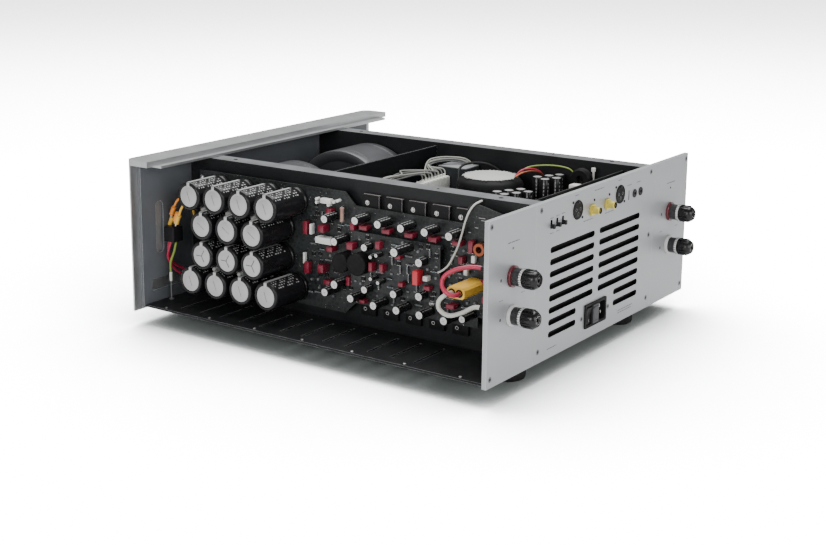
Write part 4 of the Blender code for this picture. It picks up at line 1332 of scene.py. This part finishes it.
def strand_to_near_wall(number):
    """A wire out of the connector towards the near wall, crossing its neighbours on the way."""
    start, even, third = PIN_X + PIN_PITCH * (number + 2), number % 2, number % 3
    return [
        (start, PIN_Y, PIN_Z), (start + 3.0, -252.0, 146.0 + even),
        (-8.0 + 5.0 * number, -266.0 + 6.0 * third, 152.5 - number),
        (18.0 + 6.0 * number, -250.0 - 8.0 * third, 153.5 - 2.0 * number),
        (44.0 + 6.0 * number, -262.0 + 7.0 * even, 148.0 - 3.0 * number),
        (62.0 + 5.0 * number, -250.0, 126.0), (66.0 + 5.0 * number, -246.0, 106.0),
    ]


# (name, radius, look, route)
STANDBY_WIRES = (
    (
        "standby_wire_red", 1.1, "red_wire",
        [
            (-64.0, -143.0, 151.0), (-72.0, -139.0, 157.5), (-84.0, -133.0, 158.5),
            (-96.0, -127.0, 153.0), (-106.0, -124.0, 138.0), (-108.0, -123.0, 112.0),
        ],
    ),
    (
        "standby_wire_copper", 1.1, "copper",
        [
            (-60.0, -141.0, 151.0), (-70.0, -135.5, 155.5), (-82.0, -129.5, 156.0),
            (-94.0, -124.0, 151.5), (-104.0, -120.0, 136.0), (-107.0, -119.0, 112.0),
        ],
    ),
    (
        "standby_wire_green", 0.8, "green_wire",
        [
            (-66.0, -141.0, 152.0), (-80.0, -136.0, 160.0), (-97.0, -124.0, 161.5),
            (-105.0, -104.0, 161.0), (-108.5, -91.0, 156.0), (-109.0, -86.0, 140.0),
            (-108.0, -84.0, 112.0),
        ],
    ),
    (
        "standby_wire_black", 1.5, "black_wire",
        [
            (-52.0, -214.0, 138.0), (-66.0, -221.0, 152.0), (-84.0, -216.0, 156.0),
            (-100.0, -200.0, 153.0), (-108.0, -184.0, 140.0), (-109.0, -178.0, 116.0),
        ],
    ),
)


def make_harness():
    for number in range(7):
        look = "grey_wire" if number % 3 else "harness_wire"
        make_lead(f"harness_over_{number + 1}", strand_over_relay(number), HARNESS_RADIUS, look)
    for number in range(6):
        look = "grey_wire" if number % 2 else "harness_wire"
        make_lead(f"harness_near_{number + 1}", strand_to_near_wall(number), HARNESS_RADIUS, look)
    for name, radius, look, points in STANDBY_WIRES:
        make_lead(name, points, radius, look)


def make_supply():
    winding = piece("standby_winding", build_standby_winding, ["tape", "paper"])
    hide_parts("standby_transformer")
    cans = piece("supply_cans", build_supply_cans, ["sleeve", "can", "print"])
    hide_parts("supply_capacitors")
    looks = ["white_plastic", "insulator", "relay_lid", "tape", "steel", "raspberry"]
    piece("supply_fittings", build_supply_fittings, looks)


def build_feet(bm):
    """Rubber feet with a grip groove and a recessed washer and screw underneath."""
    profile = [
        (0, -0.4), (19.6, -0.4), (21.2, -1.6), (21.5, -4.0), (20.9, -8.0), (20.4, -8.6), (20.8, -9.4),
        (20.2, -19.4), (19.4, -21.4), (17.6, -22.4), (8.0, -22.4), (7.4, -18.0), (0, -18.0), (0, -0.4),
    ]
    screw = [(0, -18.0), (6.6, -18.0), (6.6, -18.8), (3.2, -18.8), (3.0, -20.4), (0, -20.4)]
    for x in (-126.0, 126.0):
        for y in (-37.5, -430.0):
            turn(bm, profile, (x, y, 0), "Z", look=0, steps=48)
            turn(bm, screw, (x, y, 0), "Z", look=1, steps=24)


def make_feet():
    feet = piece("feet", build_feet, ["rubber", "steel"])
    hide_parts("foot_front_left", "foot_front_right", "foot_rear_left", "foot_rear_right")


# ---------------------------------------------------------------- rear panel


def add_panel_screw(bm, x, z, radius):
    """A countersunk socket screw, almost flush with the panel."""
    inner = radius * 0.5
    head = [
        (0, -0.5), (radius, -0.5), (radius, 0.1), (radius - 0.3, 0.3), (inner, 0.3), (inner, 0), (0, 0),
    ]
    turn(bm, head, (x, 0.0, z), "Y", look=0, steps=18)
    # The hex socket is a near-black disc nearly level with the head: painted shade in its recess.
    socket = disc_profile(radius * 0.52, -0.2, 0.22)
    turn(bm, socket, (x, 0.0, z), "Y", look=1, steps=6)


def build_panel_screws(bm):
    corners = [(sign * 225.0, 164.0) for sign in (-1, 1)] + [(sign * 223.0, 9.0) for sign in (-1, 1)]
    columns = [(sign * 128.0, z) for sign in (-1, 1) for z in (12.5, 88.5, 163.0)]
    for x, z in corners + columns:
        add_panel_screw(bm, x, z, 3.1)
    for x, z in ((33.0, 25.0), (-30.0, 25.0)):
        add_panel_screw(bm, x, z, 2.8)


def build_socket_screws(bm):
    for sign in (-1, 1):
        for dx, dz in ((10.9, 9.6), (-10.9, -9.8)):
            add_screw(bm, (sign * XLR_X + dx, -0.2, SOCKET_Z + dz), "Y", 1.5, look=0, height=0.8)
        add_screw(bm, (sign * RCA_X - 5.5, -0.2, RCA_Z + 9.8), "Y", 1.5, look=0, height=0.8)


def build_vent_painted_shade(bm):
    """A near-black screen behind the cooling slots, with fine ribs across it: painted shade seen through
    the slots.
    """
    box(bm, (-112.0, -6.0, 19.0), (-24.0, -5.4, 124.0))
    box(bm, (28.0, -6.0, 19.0), (112.0, -5.4, 124.0))
    box(bm, (-24.0, -6.0, 44.0), (28.0, -5.4, 124.0))
    for number in range(26):
        z = 46.0 + 3.0 * number
        box(bm, (-111.0, -5.5, z), (111.0, -5.2, z + 1.0))


def make_panel_screws():
    piece("panel_screws", build_panel_screws, ["dull_screw", "near_black_and_painted_shade"])
    piece("socket_screws", build_socket_screws, ["black_screw"])
    # The vent screen is painted shade behind the cooling slots.
    piece("vent_painted_shade", build_vent_painted_shade, ["near_black_and_painted_shade"])


def add_print(bm, x, z, width, height=1.1):
    """A row of small generic dashes on the panel, standing for a printed label."""
    for number in range(max(1, round(width / 2.3))):
        start = x - width / 2 + 2.3 * number
        size = 1.3 + 0.35 * (number % 3)
        box(bm, (start, -0.05, z - height / 2), (start + size, 0.03, z + height / 2))


def build_panel_marks(bm):
    """Printed labels beside the controls."""
    for sign in (-1, 1):
        add_print(bm, sign * POST_X, 141.8, 24.0)
        add_print(bm, sign * POST_X + 22.0, 85.6, 8.0, 0.8)
        add_print(bm, sign * POST_X - 21.0, 85.6, 8.0, 0.8)
        add_print(bm, sign * 50.0 + 3.0, 166.4, 10.0, 0.9)
        for height in POST_ZS.values():
            x = sign * POST_X + 22.0
            box(bm, (x - 1.5, -0.05, height - 1.5), (x + 1.5, 0.03, height + 1.5))
    add_print(bm, 1.7, 164.6, 23.0, 0.9)
    for x in (25.0, -25.0):
        add_print(bm, x, 134.6, 22.0, 0.9)
    for x, z in ((105.5, 151.5), (93.0, 152.0), (81.0, 152.5), (105.0, 135.4), (92.0, 135.6)):
        add_print(bm, x, z, 6.0, 0.9)
    for x in (-72.2, -95.7):
        add_print(bm, x, 156.8, 11.0, 0.9)
    add_print(bm, -72.0, 13.6, 40.0, 0.9)
    add_print(bm, -72.0, 10.9, 34.0, 0.9)
    add_print(bm, 98.0, 10.3, 20.0, 0.9)


def build_lamps(bm):
    lens = [(0, 0.7), (1.1, 0.45), (1.5, 0), (1.5, -4.0), (0, -4.0)]
    for sign in (-1, 1):
        turn(bm, lens, (sign * POST_X, 0.0, 135.2), "Y", look=0, steps=14)
    turn(bm, lens, (0.0, FRONT_FACE + 0.9, BUTTON_Z - 24.0), "-Y", look=0, steps=14)


def build_xlr_faces(bm):
    """Rim, contacts and latch button of the two balanced sockets."""
    for sign in (-1, 1):
        x = sign * XLR_X
        rim = [(9.3, 0.6), (9.5, 1.0), (10.3, 1.0), (10.5, 0.7), (10.5, 0.1), (9.3, 0.1), (9.3, 0.6)]
        turn(bm, rim, (x, 0.0, SOCKET_Z), "Y", look=0, steps=36)
        turn(bm, ring_profile(6.9, 7.5, 0.6, 0.85), (x, 0.0, SOCKET_Z), "Y", look=2, steps=28)
        for dx, dz in ((-4.5, 0.5), (4.5, 0.5), (0.0, -4.2)):
            contact = ring_profile(1.3, 1.7, 0.6, 0.9)
            turn(bm, contact, (x + dx, 0.0, SOCKET_Z + dz), "Y", look=1, steps=14)
        box(bm, (x - 2.0, 0.2, SOCKET_Z + 7.6), (x + 2.0, 1.6, SOCKET_Z + 9.6), look=2, radius=0.3)


def build_rca_faces(bm):
    """Gold nuts behind the shells, and the dark insulators inside them."""
    for sign in (-1, 1):
        centre = (sign * RCA_X, 0, RCA_Z)
        turn(bm, ring_profile(4.9, 6.9, 0.3, 2.5), centre, "Y", look=0, steps=6)
        turn(bm, ring_profile(1.7, 3.5, 2.4, 10.7), centre, "Y", look=1, steps=18)


def build_jack_rims(bm):
    for x in JACK_XS:
        rim = [(2.0, 0.9), (4.6, 0.9), (4.9, 0.5), (4.9, 0.1), (2.0, 0.1), (2.0, 0.9)]
        turn(bm, rim, (x, 0.0, SWITCH_Z), "Y", look=0, steps=22)


def build_inlet_blades(bm):
    """The three flat contacts in the mains inlet's well."""
    for x, z in ((-12.5, INLET_Z + 4.2), (-16.0, INLET_Z - 3.4), (-9.0, INLET_Z - 3.4)):
        box(bm, (x - 1.0, -16.8, z - 2.0), (x + 1.0, -1.5, z + 2.0), look=0, radius=0.4)


def build_rocker_mark(bm):
    """A short bar on the rocker's lower end."""
    bar = Matrix.Translation((18.3, 1.62, INLET_Z - 5.4))
    box(bm, (-0.35, -0.05, -1.6), (0.35, 0.05, 1.6), matrix=bar)


def build_drawer_lip(bm):
    box(bm, (-1.4, 2.9, INLET_Z + 6.6), (9.2, 3.9, INLET_Z + 8.6), radius=0.3)
    box(bm, (-1.4, 2.9, INLET_Z - 8.6), (9.2, 3.3, INLET_Z - 7.9), radius=0.15)


def build_knob(bm, x, z):
    """A fluted terminal knob with a stepped, dished end."""
    start = 14.4
    profile = [
        (3.4, 0.0), (8.8, 0.0), (9.4, 0.5), (9.4, 10.6), (9.0, 12.6), (7.4, 15.2), (6.4, 16.1),
        (4.6, 16.1), (4.2, 15.3), (2.2, 15.3), (2.2, 8.0), (3.4, 8.0), (3.4, 0.0),
    ]
    turn(bm, profile, (x, start, z), "Y", look=0, steps=48)
    for number in range(16):
        around = about((x, start, z), 360 * number / 16, "Y")
        box(bm, (-1.15, 0.8, 8.6), (1.15, 11.2, 10.15), look=0, radius=0.5, matrix=around)
    turn(bm, ring_profile(4.4, 5.9, 15.4, 16.1), (x, start, z), "Y", look=1, steps=32)


def build_knurl_painted_shade(bm, x, z):
    """Near-black marks round a clamp ring: painted shade standing in for the grooves of its knurling."""
    for number in range(24):
        around = about((x, 0, z), 360 * number / 24, "Y")
        box(bm, (-0.32, 11.7, 9.0), (0.32, 13.6, 9.9), matrix=around)


def make_terminals():
    for side, sign in (("right", 1), ("left", -1)):
        for level, z in POST_ZS.items():
            name, x = f"{side}_{level}", sign * POST_X
            knob = piece(
                f"terminal_knob_{name}",
                partial(build_knob, x=x, z=z),
                ["knob", "knob" if level == "upper" else "nickel"],
                body=f"post_knob_{name}",
            )
            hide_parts(f"post_knob_{name}")
            # Painted shade for the knurling grooves of the clamp ring.
            piece(
                f"knurl_painted_shade_{name}",
                partial(build_knurl_painted_shade, x=x, z=z),
                ["near_black_and_painted_shade"],
                body=f"clamp_ring_{name}",
            )


def make_rear_fittings():
    piece("panel_marks", build_panel_marks, ["mark"])
    piece("lamps", build_lamps, ["lens"])
    piece("xlr_faces", build_xlr_faces, ["near_black_and_painted_shade", "dull_screw", "plastic"])
    piece("rca_faces", build_rca_faces, ["gold", "near_black_and_painted_shade"])
    piece("jack_rims", build_jack_rims, ["plastic"])
    piece("inlet_blades", build_inlet_blades, ["nickel"])
    piece("drawer_lip", build_drawer_lip, ["grey_plastic"], body="drawer")
    piece("rocker_mark", build_rocker_mark, ["print"], body="rocker")


# ---------------------------------------------------------------- light, floor and camera

# Angles in degrees, distances in metres, lens and sensor in millimetres.
CAMERA_AZIMUTH, CAMERA_ELEVATION, CAMERA_ROLL = 127.52766, 12.60745, 0.2057
CAMERA_RIGHT, CAMERA_UP, CAMERA_DISTANCE = -0.11061, 0.03, 1.70803
CAMERA_TARGET = DATUM + Vector((0, -0.23, 0.08))
LENS, SENSOR_WIDTH = 62.39844, 36.0
SHIFT = (0.1005, -0.0757)
# How bright the paper and what is behind it look to the camera, and how much light the room gives.
FLOOR_SEEN, BACKDROP_SEEN, ROOM_LIGHT = 9.0, 10.0, 0.30


def camera_axes():
    """Unit vectors right, up and back of the camera."""
    azimuth, elevation = math.radians(CAMERA_AZIMUTH), math.radians(CAMERA_ELEVATION)
    back = Vector(
        (
            math.sin(azimuth) * math.cos(elevation),
            -math.cos(azimuth) * math.cos(elevation),
            math.sin(elevation),
        )
    )
    right = Vector((0, 0, 1)).cross(back).normalized()
    up = back.cross(right)
    roll = Matrix.Rotation(-math.radians(CAMERA_ROLL), 3, back)
    return roll @ right, roll @ up, back


def make_camera():
    right, up, back = camera_axes()
    data = bpy.data.cameras.new("camera")
    data.lens, data.sensor_width = LENS, SENSOR_WIDTH
    data.shift_x, data.shift_y = SHIFT
    camera = bpy.data.objects.new("camera", data)
    turned_to = Matrix((right, up, back)).transposed()
    place = CAMERA_TARGET + back * CAMERA_DISTANCE + camera_offset()
    camera.matrix_world = Matrix.Translation(place) @ turned_to.to_4x4()
    bpy.context.scene.collection.objects.link(camera)
    bpy.context.scene.camera = camera


def camera_offset():
    """The sideways and upward offset, measured before the roll is applied."""
    azimuth = math.radians(CAMERA_AZIMUTH)
    right = Vector((math.cos(azimuth), math.sin(azimuth), 0))
    _, _, back = camera_axes()
    return right * CAMERA_RIGHT + back.cross(right) * CAMERA_UP


def paper_finish():
    """White paper: it lights the object as paper would, and shows brighter than it is, with a grey-green
    shadow painted round the object from ambient occlusion.
    """
    material = bpy.data.materials.new("floor_paper")
    material.use_nodes = True
    tree = material.node_tree
    shader = tree.nodes["Principled BSDF"]
    shader.inputs["Base Color"].default_value = (0.85, 0.85, 0.85, 1)
    shader.inputs["Roughness"].default_value = 0.8
    shader.inputs["Specular IOR Level"].default_value = 0.1
    seen = tree.nodes.new("ShaderNodeBsdfDiffuse")
    # Painted shadow: to the camera the paper turns grey-green where ambient occlusion finds the object
    # close.
    painted_shadow_occlusion = tree.nodes.new("ShaderNodeAmbientOcclusion")
    painted_shadow_occlusion.samples = 8
    painted_shadow_occlusion.inputs["Distance"].default_value = 0.60
    openness = math_node(tree, "POWER", painted_shadow_occlusion.outputs["AO"], 3.0)
    shaded = mix_colour(tree, openness, (0.30, 0.34, 0.33), (FLOOR_SEEN, FLOOR_SEEN, FLOOR_SEEN))
    tree.links.new(shaded, seen.inputs["Color"])
    path = tree.nodes.new("ShaderNodeLightPath")
    either = tree.nodes.new("ShaderNodeMixShader")
    tree.links.new(path.outputs["Is Camera Ray"], either.inputs["Fac"])
    tree.links.new(shader.outputs["BSDF"], either.inputs[1])
    tree.links.new(seen.outputs["BSDF"], either.inputs[2])
    tree.links.new(either.outputs["Shader"], tree.nodes["Material Output"].inputs["Surface"])
    return material


def make_floor():
    mesh = bpy.data.meshes.new("floor")
    bm = bmesh.new()
    bmesh.ops.create_grid(bm, x_segments=1, y_segments=1, size=14)
    bm.to_mesh(mesh)
    bm.free()
    floor = bpy.data.objects.new("floor", mesh)
    mesh.materials.append(paper_finish())
    bpy.context.scene.collection.objects.link(floor)


def add_softbox(name, place, target, size, power):
    light = bpy.data.lights.new(name, "AREA")
    light.shape = "RECTANGLE"
    light.size, light.size_y = size
    light.energy = power
    obj = bpy.data.objects.new(name, light)
    obj.location = place
    obj.rotation_euler = (Vector(place) - Vector(target)).to_track_quat("Z", "Y").to_euler()
    bpy.context.scene.collection.objects.link(obj)


def make_world():
    """A soft white room; what shows behind the floor is as bright as the floor."""
    world = bpy.data.worlds.new("studio")
    world.use_nodes = True
    tree = world.node_tree
    room = tree.nodes["Background"]
    room.inputs["Color"].default_value = (1, 1, 1, 1)
    path = tree.nodes.new("ShaderNodeLightPath")
    seen = math_node(tree, "MULTIPLY", path.outputs["Is Camera Ray"], BACKDROP_SEEN)
    tree.links.new(math_node(tree, "ADD", seen, ROOM_LIGHT), room.inputs["Strength"])
    bpy.context.scene.world = world


def make_light():
    make_world()
    add_softbox("overhead", (-0.5, -0.3, 2.4), (0, -0.1, 0), (2.4, 2.2), 125)
    add_softbox("rear_side", (1.0, 2.7, 1.0), (0, 0, 0.1), (1.6, 1.6), 44)
    add_softbox("open_side", (2.6, 0.4, 0.9), (0.2, -0.4, 0.1), (1.4, 1.0), 38)


# ---------------------------------------------------------------- the whole object


make_camera()
repaint_packed_parts()
make_capacitors()
make_board_parts()
make_device_hardware()
make_side_wiring()
make_side_boards()
make_front_bay()
make_transformers()
make_supply()
make_harness()
make_feet()
make_panel_screws()
make_rear_fittings()
make_terminals()
make_floor()
make_light()
